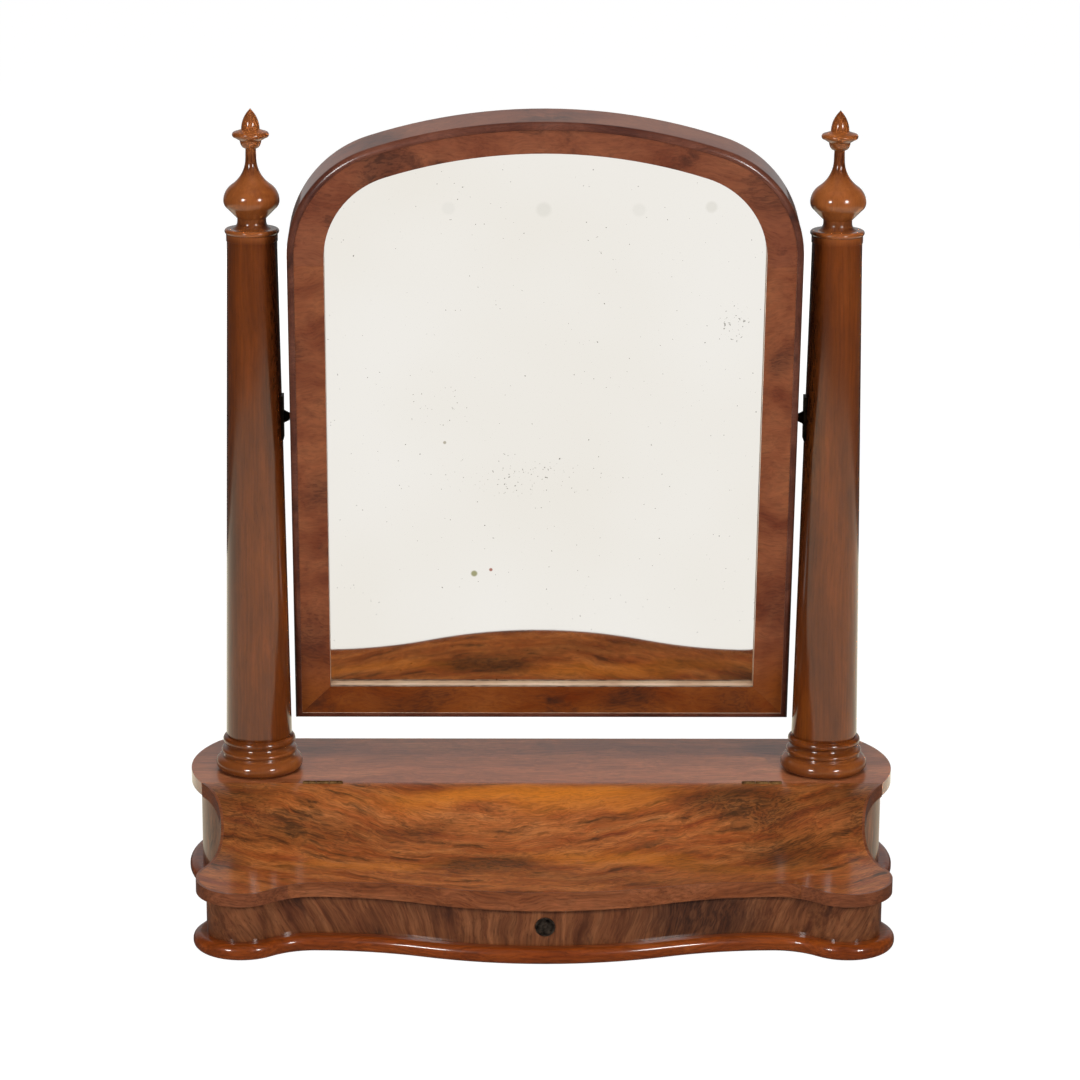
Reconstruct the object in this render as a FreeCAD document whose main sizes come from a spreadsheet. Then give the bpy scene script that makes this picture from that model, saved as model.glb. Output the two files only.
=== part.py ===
import FreeCAD, Part
import math
import os
import Sketcher

# Swing toilet mirror on a serpentine box with a hinged ogee lid.
# Millimetres.  +Z is up and the front faces -Y.  The origin lies on the
# surface that the box stands on, under the middle of the box's width and depth.

os.makedirs("parts", exist_ok=True)
doc = FreeCAD.newDocument("ToiletMirror")

sizes = [
    # plan of the box, outer line of the plinth nosing
    ("baseDepth", 344, "front bulge to back edge"),
    ("sideReach", 344, "half width at the rear lobes"),
    ("lobeInset", 19, "front lobes inside the rear ones, in half width"),
    ("waistInset", 37, "side waist inside the rear lobes, in half width"),
    ("bulgeRadius", 360, "front bulge"),
    ("hollowToLobe", 67, "bottom of a front hollow to the centre of the lobe"),
    ("hollowSetback", 34, "front hollow behind the bulge"),
    ("lobeSetback", 9, "front lobe behind the bulge"),
    ("lobeRadius", 46, "front lobe"),
    ("lobeToWaist", 76.5, "widest point of the front lobe back to the waist"),
    ("waistToSide", 133, "waist back to the widest point of the rear lobe"),
    ("waistRadius", 125, "rear half of the waist"),
    ("cornerRadius", 20, "rear corner of the boards"),
    ("wallCorner", 6, "rear corner of the walls"),
    ("wallInnerCorner", 2, "rear corner inside the walls"),
    # heights and thicknesses of the box
    ("plinthThick", 15, "bottom board"),
    ("noseRadius", 6.8, "rounded edge of the bottom board"),
    ("boardInset", 3, "lid and rear board inside the plinth line"),
    ("wallInset", 12.5, "outer face of the walls inside the plinth line"),
    ("wallThick", 12, "walls"),
    ("backInset", 6, "back panel in front of the boards' back edge"),
    ("backPanelThick", 9, "back panel"),
    ("seamHeight", 106.5, "top of the rear board and of the lid at its hinge"),
    ("boardThick", 12.5, "rear board"),
    ("boardDepth", 137.5, "rear board, front to back"),
    ("railThick", 14, "rail under the seam"),
    # lid
    ("lidThick", 13.5, "lid, measured upright"),
    ("ledgeHeight", 68.5, "top of the lid where the ogee ends"),
    ("frontHeight", 65.5, "top of the lid along its front line"),
    ("ogeeReach", 135, "seam to the end of the ogee"),
    ("shoulderRadius", 100, "round shoulder of the ogee"),
    ("lidCrown", 4, "extra height of the lid's top at the middle"),
    ("lidRest", 0.4, "lid above the walls"),
    ("seamGap", 0.6, "lid to rear board"),
    ("lippingThick", 2.5, "edging of the lid"),
    ("lippingInset", 89, "joints of the edging inside the front lobes"),
    # columns and finials
    ("columnInset", 69.7, "column axis inside the rear lobes"),
    ("columnSetback", 48, "seam to the columns' axes"),
    ("columnLength", 530.5, "column without its tenon"),
    ("torusRadius", 42, "widest part of the foot"),
    ("torusHeight", 14, "foot torus"),
    ("ringRadius", 36.5, "second ring of the foot"),
    ("ringHeight", 5, "second ring of the foot"),
    ("ringLevel", 17, "underside of the second ring over the board"),
    ("astragalRadius", 35, "upper ring of the foot"),
    ("astragalHeight", 8.2, "upper ring of the foot"),
    ("astragalLevel", 26, "underside of the upper ring over the board"),
    ("shaftFoot", 31.7, "shaft radius at the foot"),
    ("shaftTop", 23.6, "shaft radius at the neck"),
    ("shaftStart", 37, "foot of the shaft over the board"),
    ("collarRadius", 25.6, "ring on top of the column"),
    ("collarHeight", 5, "ring on top of the column"),
    ("fasciaRadius", 24.2, "band under the ring"),
    ("fasciaHeight", 6.5, "band under the ring"),
    ("tenonRadius", 11, "column tenon"),
    ("tenonLength", 24, "column tenon"),
    ("finialLength", 112.6, "finial without its spigot"),
    ("finialNeck", 13.5, "neck under the bulb"),
    ("finialBulb", 26.2, "bulb"),
    ("finialStem", 5.1, "stem over the bulb"),
    ("finialDisc", 17.2, "disc under the acorn"),
    ("finialAcorn", 8.6, "acorn"),
    ("spigotRadius", 6, "finial spigot"),
    ("spigotLength", 25, "finial spigot"),
    # mirror frame, measured from the pivot axis
    ("pivotHeight", 456.5, "pivot axis over the ground"),
    ("restTilt", 8.16, "degrees, top of the mirror leaning forward at rest"),
    ("pivotGap", 6.6, "column plate to frame"),
    ("frameBelow", 307, "pivot axis down to the bottom edge"),
    ("frameAbove", 296, "pivot axis up to the crown"),
    ("archRise", 131, "start of the arch to the crown"),
    ("haunchRadius", 110, "outer haunch of the arch"),
    ("frameDepth", 48, "frame, front to back"),
    ("frameRound", 6, "rounded front edge of the frame"),
    ("frameFace", 34.5, "width of the stiles and the bottom rail"),
    ("crownFace", 29, "width of the arch at the crown"),
    ("haunchFace", 27.5, "haunch of the frame to that of the sight opening"),
    ("jointDrop", 7, "joint of stile and arch under the start of the arch"),
    ("bandWidth", 6.5, "rounded band along the outer edge"),
    ("bandStep", 0.8, "band in front of the rest of the face"),
    ("lipDepth", 9, "frame lip in front of the glass"),
    ("glassRebate", 6, "glass behind the lip"),
    ("glassThick", 3, "glass"),
    ("glassPlay", 0.5, "glass and backboard in their rebates"),
    ("backRebate", 12, "backboard beyond the sight opening"),
    ("backThick", 8, "backboard"),
    ("backSink", 2, "backboard in front of the frame's back"),
    ("blockWidth", 12, "glazing block, across the frame"),
    ("blockLength", 34, "glazing block, along the frame"),
    # pivots
    ("plateWidth", 16, "pivot plates"),
    ("plateLength", 42, "pivot plates"),
    ("plateThick", 3, "pivot plates"),
    ("plateSeat", 24.7, "column axis to the flat under its plate"),
    ("plateScrew", 14.5, "pivot axis to the screws of a plate"),
    ("pinRadius", 2.3, "pivot pin"),
    ("tailLength", 14, "stud inside the column"),
    ("pinLength", 11, "pivot pin inside the frame"),
    ("bossRadius", 6.4, "cone at the root of the pin"),
    ("bossTip", 3.6, "cone at its small end"),
    ("bossGap", 1.2, "cone to frame plate"),
    ("turningPlay", 0.05, "pin in its bore"),
    ("pinRoom", 0.6, "wood round the pivot pin"),
    # hinges
    ("hingeInset", 133, "middle of a hinge inside the rear lobes"),
    ("hingeLength", 38, "hinge"),
    ("knuckleRadius", 2.1, "hinge barrel"),
    ("hingePin", 1, "hinge pin radius"),
    ("hingePinInset", 0.5, "hinge pin inside the ends of the barrel"),
    ("leafDepth", 11.5, "hinge leaf below the axis"),
    ("leafThick", 1.4, "hinge leaf"),
    ("barrelPlay", 0.4, "barrel to wood and leaf"),
    ("leafDrop", 0.3, "top of a leaf under the axis"),
    ("leafScrewPitch", 13, "screws along a leaf"),
    ("leafScrewDrop", 7.2, "screws below the axis"),
    # lock
    ("lockWidth", 44, "lock case"),
    ("lockHeight", 31.5, "lock case"),
    ("lockDepth", 10, "lock case"),
    ("lockSkin", 4, "wood left in front of the lock case"),
    ("lockLevel", 33.5, "centre of the lock's cup over the ground"),
    ("lockRise", 18, "centre of the cup to the top of the case"),
    ("cupRadius", 9, "cup round the keyhole"),
    ("cupProud", 0.8, "cup in front of the wood"),
    ("cupWall", 1.4, "wall of the cup"),
    ("cupFloor", 1.2, "floor of the cup"),
    ("cupPin", 1.5, "key pin radius"),
    ("keyholeWidth", 2.2, "keyhole under the pin"),
    ("keyholeHeight", 4, "keyhole under the pin"),
    ("keyholeDrop", 6, "centre of the cup to the foot of the keyhole"),
    ("slotWidth", 6.5, "slot for the eye, front to back"),
    ("eyeWidth", 10, "eye of the catch"),
    ("eyeThick", 2.4, "eye of the catch, front to back"),
    ("eyeDepth", 5.5, "eye below its plate"),
    ("eyePlay", 1, "eye to the ends and the floor of its slot"),
    ("catchScrewInset", 5, "catch screws from the ends of the plate"),
    ("catchLength", 34, "plate of the catch"),
    ("catchThick", 1.6, "plate of the catch"),
    ("catchLift", 1.4, "plate of the catch over the lock case"),
    ("eyeHole", 1.5, "hole in the eye, radius"),
    ("catchScrewLength", 7, "catch screw"),
    ("caseScrewInset", 4, "lock screws from the edges of the case"),
    ("caseScrewGrip", 2.4, "lock screws in the wood"),
    # screws and blocks
    ("screwRadius", 1.1, "small screw"),
    ("screwHead", 2.2, "small screw head"),
    ("headThick", 1.1, "small screw head"),
    ("screwLength", 10, "small screw"),
    ("backScrewLength", 17, "backboard screw"),
    ("fit", 0.05, "fixed pieces in their seats"),
    ("spare", 10, "how far a cutting piece runs past the wood"),
    ("columnBlock", 52, "block under a column, square"),
    ("columnBlockThick", 14, "block under a column"),
    ("friezeReturn", 14, "front lobe's widest point back to the end of the frieze"),
]
sheet = doc.addObject("Spreadsheet::Sheet", "Sizes")
for row, (alias, value, note) in enumerate(sizes, start=1):
    sheet.set("A%d" % row, note)
    sheet.set("B%d" % row, str(value))
    sheet.setAlias("B%d" % row, alias)
doc.recompute()

vector = FreeCAD.Vector
nodes = {}


# sizes that follow from the sheet
lobeReach = "(Sizes.sideReach-Sizes.lobeInset)"
waistReach = "(Sizes.sideReach-Sizes.waistInset)"
hollowReach = "(%s-Sizes.lobeRadius-Sizes.hollowToLobe)" % lobeReach
edgingReach = "(%s-Sizes.lippingInset)" % lobeReach
columnReach = "(Sizes.sideReach-Sizes.columnInset)"
hingeReach = "(Sizes.sideReach-Sizes.hingeInset)"
frameReach = "(%s-Sizes.plateSeat-Sizes.plateThick-Sizes.pivotGap)" % columnReach
sightReach = "(%s-Sizes.frameFace)" % frameReach
sightBelow = "(Sizes.frameBelow-Sizes.frameFace)"
sightAbove = "(Sizes.frameAbove-Sizes.crownFace)"
sightHaunch = "(Sizes.haunchRadius-Sizes.haunchFace)"
springing = "(Sizes.frameAbove-Sizes.archRise)"
archJoint = "(%s-Sizes.jointDrop)" % springing


def number(text):
    """Value of an expression over the sheet."""
    result = sheet.evalExpression(str(text))
    return float(getattr(result, "Value", result))


def size(alias):
    return number("Sizes." + alias)


def bind(thing, **expressions):
    for name, text in expressions.items():
        thing.setExpression(name, str(text))
    return thing


def place(thing, x="0", y="0", z="0"):
    """Bind the position of an object to expressions."""
    for axis, text in zip("xyz", (x, y, z)):
        thing.setExpression(".Placement.Base." + axis, str(text))
    return thing


def node(name, thing):
    thing.Label = name
    nodes[name] = thing
    return thing


def box(name, x, y, z, length, width, height):
    """Part box between x..x+length and so on, all expressions."""
    solid = doc.addObject("Part::Box", name)
    bind(solid, Length=length, Width=width, Height=height)
    return place(solid, x, y, z)


def boolean(kind, name, base, tool):
    result = doc.addObject("Part::" + kind, name)
    result.Base = base
    result.Tool = tool
    return result


def cut(name, base, *tools):
    for number_, tool in enumerate(tools):
        last = number_ == len(tools) - 1
        base = boolean("Cut", name if last else name + "_step", base, tool)
    return base


def common(name, base, tool):
    return boolean("Common", name, base, tool)


def fuse(name, *shapes):
    result = doc.addObject("Part::MultiFuse", name)
    result.Shapes = list(shapes)
    return result


# sketches
def drawPath(sketch, path):
    """Closed path of corners and edges.

    path alternates a corner (x, y) and the edge that leaves it: None for a
    line, or (radius, turn) for the short arc, turn +1 to the left, -1 to the
    right, with "half" as the radius of a half circle.  Every corner and radius
    is bound to its expression.
    """
    corners = path[0::2]
    edges = path[1::2]
    points = [vector(number(x), number(y), 0) for x, y in corners]
    geometry = []
    ends = []
    for index, edge in enumerate(edges):
        start = points[index]
        end = points[(index + 1) % len(points)]
        if edge is None:
            geometry.append(Part.LineSegment(start, end))
            ends.append((1, 2))
            continue
        chord = end - start
        radius = chord.Length / 2 if edge[0] == "half" else number(edge[0])
        rise = math.sqrt(max(radius ** 2 - (chord.Length / 2) ** 2, 0))
        left = vector(-chord.y, chord.x, 0).normalize()
        centre = (start + end) * 0.5 + left * rise * edge[1]
        first = math.atan2(start.y - centre.y, start.x - centre.x)
        last = math.atan2(end.y - centre.y, end.x - centre.x)
        circle = Part.Circle(centre, vector(0, 0, 1), radius)
        if edge[1] > 0:
            geometry.append(Part.ArcOfCircle(circle, first, last))
            ends.append((1, 2))
        else:
            geometry.append(Part.ArcOfCircle(circle, last, first))
            ends.append((2, 1))
    offset = sketch.GeometryCount
    sketch.addGeometry(geometry, False)
    count = len(geometry)
    for index in range(count):
        after = (index + 1) % count
        sketch.addConstraint(Sketcher.Constraint(
            "Coincident", offset + index, ends[index][1], offset + after, ends[after][0]))
    for index, (x, y) in enumerate(corners):
        spot = (offset + index, ends[index][0])
        for kind, text, value, axis in (("DistanceX", x, points[index].x, -2),
                                        ("DistanceY", y, points[index].y, -1)):
            if abs(value) < 1e-9:
                sketch.addConstraint(Sketcher.Constraint("PointOnObject", spot[0], spot[1], axis))
                continue
            row = sketch.addConstraint(Sketcher.Constraint(kind, -1, 1, spot[0], spot[1], value))
            sketch.setExpression("Constraints[%d]" % row, str(text))
    for index, edge in enumerate(edges):
        if edge is not None and edge[0] == "half":
            arc = offset + index
            sketch.addConstraint(Sketcher.Constraint("Symmetric", arc, 1, arc, 2, arc, 3))
        elif edge is not None:
            row = sketch.addConstraint(Sketcher.Constraint("Radius", offset + index, number(edge[0])))
            sketch.setExpression("Constraints[%d]" % row, str(edge[0]))
    return sketch


planes = {
    "XY": FreeCAD.Rotation(),
    "XZ": FreeCAD.Rotation(vector(1, 0, 0), 90),
    "YZ": FreeCAD.Rotation(vector(1, 1, 1), 120),
}


def freeSketch(name, plane, *paths):
    sketch = doc.addObject("Sketcher::SketchObject", name)
    sketch.Placement = FreeCAD.Placement(vector(), planes[plane])
    for path in paths:
        drawPath(sketch, path)
    return sketch


def extrude(name, sketch, forward, backward="0"):
    solid = doc.addObject("Part::Extrusion", name)
    solid.Base = sketch
    solid.DirMode = "Normal"
    solid.Solid = True
    return bind(solid, LengthFwd=forward, LengthRev=backward)


def revolve(name, path):
    """PartDesign revolution about the sketch's upright axis."""
    body = doc.addObject("PartDesign::Body", name)
    sketch = body.newObject("Sketcher::SketchObject", name + "_profile")
    plane = [item for item in body.Origin.OriginFeatures if item.Role == "XZ_Plane"][0]
    sketch.AttachmentSupport = [(plane, "")]
    sketch.MapMode = "FlatFace"
    drawPath(sketch, path)
    turned = body.newObject("PartDesign::Revolution", name + "_turned")
    turned.Profile = sketch
    turned.ReferenceAxis = (sketch, ["V_Axis"])
    turned.Angle = 360
    return body


# plan line of the box
def turnover(start, end, radius, upright):
    """Two tangent arcs between stations with parallel tangents.

    The first arc has the given radius.  Returns the point where they meet and
    the second radius.
    """
    across = "((%s)-(%s))" % (end[0], start[0])
    along = "((%s)-(%s))" % (end[1], start[1])
    rise = across if upright else along
    total = "((%s^2+%s^2)/(2*abs(%s)))" % (across, along, rise)
    share = "((%s)/%s)" % (radius, total)
    meet = ("(%s)+%s*%s" % (start[0], across, share), "(%s)+%s*%s" % (start[1], along, share))
    return meet, "(%s-(%s))" % (total, radius)


def planPath(inset="0", backInset="0", corner="Sizes.cornerRadius"):
    """Serpentine plan line, inset from the plinth's outer line."""
    front = "(-Sizes.baseDepth/2+%s)" % inset
    back = "(Sizes.baseDepth/2-(%s))" % backInset
    apex = ("0", front)
    hollow = (hollowReach, front + "+Sizes.hollowSetback")
    lobe = (lobeReach + "-Sizes.lobeRadius", front + "+Sizes.lobeSetback")
    widest = (lobeReach + "-" + inset,
              "-Sizes.baseDepth/2+Sizes.lobeSetback+Sizes.lobeRadius")
    waist = (waistReach + "-" + inset, widest[1] + "+Sizes.lobeToWaist")
    side = ("Sizes.sideReach-" + inset, waist[1] + "+Sizes.waistToSide")
    bulge = "(Sizes.bulgeRadius-%s)" % inset
    lobeTurn = "(Sizes.lobeRadius-%s)" % inset
    meetBulge, innerHollow = turnover(apex, hollow, bulge, False)
    meetLobe, outerHollow = turnover(lobe, hollow, lobeTurn, False)
    meetFront, frontWaist = turnover(widest, waist, lobeTurn, True)
    rearWaist = "(Sizes.waistRadius+%s)" % inset
    meetRear, sideTurn = turnover(waist, side, rearWaist, True)
    # rear corner, tangent to the side arc and to the straight back edge
    sideCentre = "(%s-%s)" % (side[0], sideTurn)
    cornerLevel = "(%s-%s)" % (back, corner)
    lift = "(%s-(%s))" % (cornerLevel, side[1])
    shift = "sqrt((%s-%s)^2-%s^2)" % (sideTurn, corner, lift)
    grow = "(%s/(%s-%s))" % (sideTurn, sideTurn, corner)
    cornerStart = ("%s+%s*%s" % (sideCentre, shift, grow), "(%s)+%s*%s" % (side[1], lift, grow))
    cornerEnd = ("%s+%s" % (sideCentre, shift), back)
    right = [
        (meetBulge, (innerHollow, -1)), (hollow, (outerHollow, -1)),
        (meetLobe, (lobeTurn, 1)), (meetFront, (frontWaist, -1)),
        (waist, (rearWaist, -1)), (meetRear, (sideTurn, 1)),
        (cornerStart, (corner, 1)), (cornerEnd, None),
    ]
    path = []
    for point, edge in right:
        path += [point, edge]
    mirrored = [("-(%s)" % point[0], point[1]) for point, edge in right]
    edges = [edge for point, edge in right][:-1]
    for index in range(len(mirrored) - 1, -1, -1):
        path.append(mirrored[index])
        path.append(edges[index - 1] if index > 0 else (bulge, 1))
    return path


seam = "(Sizes.baseDepth/2-Sizes.boardDepth)"
columnY = "(%s+Sizes.columnSetback)" % seam

# bottom board
plinth = doc.addObject("PartDesign::Body", "Plinth")
plinthPlan = plinth.newObject("Sketcher::SketchObject", "Plinth_plan")
groundPlane = [item for item in plinth.Origin.OriginFeatures if item.Role == "XY_Plane"][0]
plinthPlan.AttachmentSupport = [(groundPlane, "")]
plinthPlan.MapMode = "FlatFace"
drawPath(plinthPlan, planPath())
plinthPad = plinth.newObject("PartDesign::Pad", "Plinth_pad")
plinthPad.Profile = plinthPlan
bind(plinthPad, Length="Sizes.plinthThick")
doc.recompute()
flatFaces = ["Face%d" % (index + 1) for index, face in enumerate(plinthPad.Shape.Faces)
             if abs(face.normalAt(0, 0).z) > 0.99]
nosing = plinth.newObject("PartDesign::Fillet", "Plinth_nosing")
nosing.Base = (plinthPad, flatFaces)
bind(nosing, Radius="Sizes.noseRadius")
node("plinth_board", plinth)


# lid
def ogee(drop, crown="0"):
    """Ogee line from the seam to the front: corners and edges, rear to front."""
    rear = ("%s-Sizes.seamGap" % seam, "Sizes.seamHeight-(%s)" % drop)
    foot = ("%s-Sizes.ogeeReach" % seam, "Sizes.ledgeHeight+%s-(%s)" % (crown, drop))
    front = ("-Sizes.baseDepth/2", "Sizes.frontHeight+%s-(%s)" % (crown, drop))
    middle, sweep = turnover(rear, foot, "Sizes.shoulderRadius", False)
    return rear, middle, foot, front, sweep


def lidSection(name, x, crown):
    rear, middle, foot, front, sweep = ogee("0", crown)
    lowRear, lowMiddle, lowFoot, lowFront, lowSweep = ogee("Sizes.lidThick")
    path = [
        lowFront, None, lowFoot, (lowSweep, 1), lowMiddle, ("Sizes.shoulderRadius", -1),
        lowRear, None, rear, ("Sizes.shoulderRadius", 1), middle, (sweep, -1),
        foot, None, front, None,
    ]
    return place(freeSketch(name, "YZ", path), x)


sections = []
for index, (reach, share) in enumerate(((-1, 0), (-0.55, 0.1), (0, 1), (0.55, 0.1), (1, 0))):
    sections.append(lidSection("Lid_section%d" % (index + 1), "%s*(Sizes.sideReach+5)" % reach,
                               "(%s*Sizes.lidCrown)" % share))
lidBlank = doc.addObject("Part::Loft", "Lid_blank")
lidBlank.Sections = sections
lidBlank.Solid = True
lidBlank.Ruled = False


def planSolid(name, z, height, inset, backInset="0", corner="Sizes.cornerRadius"):
    sketch = freeSketch(name + "_plan", "XY", planPath(inset, backInset, corner))
    place(sketch, z=z)
    return extrude(name, sketch, height)


lidOutline = planSolid("Lid_outline", "0", "Sizes.seamHeight+2*Sizes.spare", "Sizes.boardInset")
lidCore = planSolid("Lid_core", "0", "Sizes.seamHeight+2*Sizes.spare",
                    "(Sizes.boardInset+Sizes.lippingThick)")
edgingBlank = cut("Edging_blank", common("Lid_whole", lidBlank, lidOutline), lidCore)
lidPanelBlank = common("Lid_panel_blank", lidBlank, lidCore)
reach = "(Sizes.sideReach+Sizes.spare)"
depth = "(Sizes.baseDepth+2*Sizes.spare)"
front = "(-Sizes.baseDepth/2-Sizes.spare)"
edgeMiddle = box("Edge_middle", "-" + edgingReach, front, "0",
                 "2*" + edgingReach, depth, "Sizes.seamHeight+2*Sizes.spare")
edgeLeft = box("Edge_left", "-" + reach, front, "0", reach + "-" + edgingReach,
               depth, "Sizes.seamHeight+2*Sizes.spare")
edgeRight = box("Edge_right", edgingReach, front, "0", reach + "-" + edgingReach,
                depth, "Sizes.seamHeight+2*Sizes.spare")
node("lid_edging_front", common("Edging_front", edgingBlank, edgeMiddle))
node("lid_edging_left", common("Edging_left", edgingBlank, edgeLeft))
node("lid_edging_right", common("Edging_right", edgingBlank, edgeRight))

# walls of the box
boardUnder = "(Sizes.seamHeight-Sizes.boardThick)"
rear, middle, foot, frontTop, sweep = ogee("Sizes.lidThick+Sizes.lidRest")
roof = "Sizes.seamHeight+3*Sizes.spare"
lidRoomPlan = freeSketch("Lid_room_plan", "YZ", [
    (frontTop[0] + "-Sizes.spare", frontTop[1]), None, foot, (sweep, 1), middle,
    ("Sizes.shoulderRadius", -1), rear, None, (seam, rear[1]), None, (seam, roof), None,
    (frontTop[0] + "-Sizes.spare", roof), None])
place(lidRoomPlan, "-" + reach)
lidRoom = extrude("Lid_room", lidRoomPlan, "2*" + reach)
rearRoom = box("Rear_room", "-" + reach, seam, boardUnder, "2*" + reach, depth,
               "Sizes.seamHeight")

wallTall = "Sizes.seamHeight"
wallOuter = planSolid("Wall_outer", "Sizes.plinthThick", wallTall, "Sizes.wallInset",
                      "Sizes.backInset", "Sizes.wallCorner")
wallInner = planSolid("Wall_inner", "Sizes.plinthThick", wallTall,
                      "(Sizes.wallInset+Sizes.wallThick)",
                      "Sizes.backInset+Sizes.backPanelThick", "Sizes.wallInnerCorner")
walls = cut("Walls", wallOuter, wallInner, lidRoom, rearRoom)
friezeEnd = "(-Sizes.baseDepth/2+Sizes.lobeSetback+Sizes.lobeRadius+Sizes.friezeReturn)"
panelFront = "(Sizes.baseDepth/2-Sizes.backInset-Sizes.backPanelThick)"
friezeBlank = common("Frieze_blank", walls, box(
    "Frieze_zone", "-" + reach, front, "0", "2*" + reach, "%s-%s" % (friezeEnd, front), "Sizes.seamHeight"))
for name, start in (("left", "-" + reach), ("right", "0")):
    zone = box("Side_zone_" + name, start, friezeEnd, "0", reach,
               "%s-%s" % (panelFront, friezeEnd), "Sizes.seamHeight")
    node("side_wall_" + name, common("Side_wall_" + name, walls, zone))
node("back_panel", common("Back_panel", walls, box(
    "Back_zone", "-" + reach, panelFront, "0", "2*" + reach, "3*Sizes.spare", "Sizes.seamHeight")))
node("partition", common("Partition", wallInner, box(
    "Partition_zone", "-" + reach, seam, "0", "2*" + reach, "Sizes.railThick", boardUnder)))

# fasteners
turns = {
    "x": FreeCAD.Rotation(vector(0, 1, 0), 90),
    "-x": FreeCAD.Rotation(vector(0, 1, 0), -90),
    "y": FreeCAD.Rotation(vector(1, 0, 0), -90),
    "-y": FreeCAD.Rotation(vector(1, 0, 0), 90),
    "z": FreeCAD.Rotation(),
    "-z": FreeCAD.Rotation(vector(1, 0, 0), 180),
}


def along(axis, spot, shift):
    """Spot moved along an axis by an expression."""
    moved = list(spot)
    index = "xyz".index(axis[-1])
    sign = "-" if axis[0] == "-" else "+"
    moved[index] = "(%s)%s(%s)" % (spot[index], sign, shift)
    return moved


def round_(name, spot, axis, radius, length, tip=None):
    """Cylinder, or cone when tip is given, from spot along an axis."""
    if tip is None:
        solid = doc.addObject("Part::Cylinder", name)
        bind(solid, Radius=radius, Height=length)
    else:
        solid = doc.addObject("Part::Cone", name)
        bind(solid, Radius1=radius, Radius2=tip, Height=length)
    solid.Placement = FreeCAD.Placement(vector(), turns[axis])
    return place(solid, *spot)


def screws(name, spots, axis, length="Sizes.screwLength"):
    """Flat-headed screws from their head faces along an axis, and their holes."""
    solids = []
    holes = []
    for index, spot in enumerate(spots, start=1):
        label = "%s_%d" % (name, index)
        neck = along(axis, spot, "Sizes.headThick")
        solids.append(round_(label + "_head", spot, axis, "Sizes.screwHead",
                             "Sizes.headThick", "Sizes.screwRadius"))
        solids.append(round_(label + "_shank", neck, axis, "Sizes.screwRadius",
                             "%s-Sizes.headThick" % length))
        holes.append(round_(label + "_sink", spot, axis, "Sizes.screwHead+Sizes.fit",
                            "Sizes.headThick", "Sizes.screwRadius+Sizes.fit"))
        holes.append(round_(label + "_bore", spot, axis, "Sizes.screwRadius+Sizes.fit",
                            "%s+Sizes.fit" % length))
    return fuse(name, *solids), fuse(name + "_holes", *holes)


# hinges
axisY = "(%s-Sizes.seamGap/2)" % seam
axisZ = "Sizes.seamHeight"
knuckle = "(Sizes.hingeLength/3)"
barrels = []
fixedParts = []
movingParts = []
pinParts = []
fixedClear = []
movingClear = []
leafRooms = []
fixedSpots = []
movingSpots = []
for name, sign in (("left", "-1"), ("right", "1")):
    centre = "(%s*%s)" % (sign, hingeReach)
    start = "(%s-Sizes.hingeLength/2)" % centre
    end = "(%s+Sizes.hingeLength/2)" % centre
    barrels.append(round_("Barrel_room_" + name, (start + "-Sizes.barrelPlay", axisY, axisZ), "x",
                          "Sizes.knuckleRadius+Sizes.barrelPlay",
                          "Sizes.hingeLength+2*Sizes.barrelPlay"))
    pinParts.append(round_("Hinge_pin_" + name, (start + "+Sizes.hingePinInset", axisY, axisZ), "x",
                           "Sizes.hingePin", "Sizes.hingeLength-2*Sizes.hingePinInset"))
    middleStart = "(%s-%s/2)" % (centre, knuckle)
    fixedParts.append(round_("Knuckle_fixed_" + name, (middleStart, axisY, axisZ), "x",
                             "Sizes.knuckleRadius", knuckle))
    for tag, place_ in (("a", start), ("b", "(%s-%s)" % (end, knuckle))):
        movingParts.append(round_("Knuckle_moving_%s_%s" % (name, tag), (place_, axisY, axisZ),
                                  "x", "Sizes.knuckleRadius", knuckle))
        fixedClear.append(round_("Fixed_clear_%s_%s" % (name, tag),
                                 (place_ + "-Sizes.barrelPlay", axisY, axisZ), "x",
                                 "Sizes.knuckleRadius+Sizes.barrelPlay",
                                 knuckle + "+2*Sizes.barrelPlay"))
    movingClear.append(round_("Moving_clear_" + name,
                              (middleStart + "-Sizes.barrelPlay", axisY, axisZ), "x",
                              "Sizes.knuckleRadius+Sizes.barrelPlay",
                              knuckle + "+2*Sizes.barrelPlay"))
    low = axisZ + "-Sizes.leafDepth"
    lidFace = "(%s-Sizes.seamGap)" % seam
    fixedParts.append(box("Leaf_fixed_" + name, start, seam, low,
                          "Sizes.hingeLength", "Sizes.leafThick", "Sizes.leafDepth-Sizes.leafDrop"))
    movingParts.append(box("Leaf_moving_" + name, start, lidFace + "-Sizes.leafThick", low,
                           "Sizes.hingeLength", "Sizes.leafThick", "Sizes.leafDepth-Sizes.leafDrop"))
    leafRooms.append(box("Leaf_room_" + name, start + "-Sizes.fit",
                         lidFace + "-Sizes.leafThick-Sizes.fit", low + "-Sizes.fit",
                         "Sizes.hingeLength+2*Sizes.fit",
                         "Sizes.seamGap+2*Sizes.leafThick+2*Sizes.fit", "Sizes.leafDepth+Sizes.spare"))
    for step in (-1, 0, 1):
        screwX = "%s+(%d)*Sizes.leafScrewPitch" % (centre, step)
        screwZ = axisZ + "-Sizes.leafScrewDrop"
        fixedSpots.append((screwX, seam, screwZ))
        movingSpots.append((screwX, lidFace, screwZ))

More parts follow.
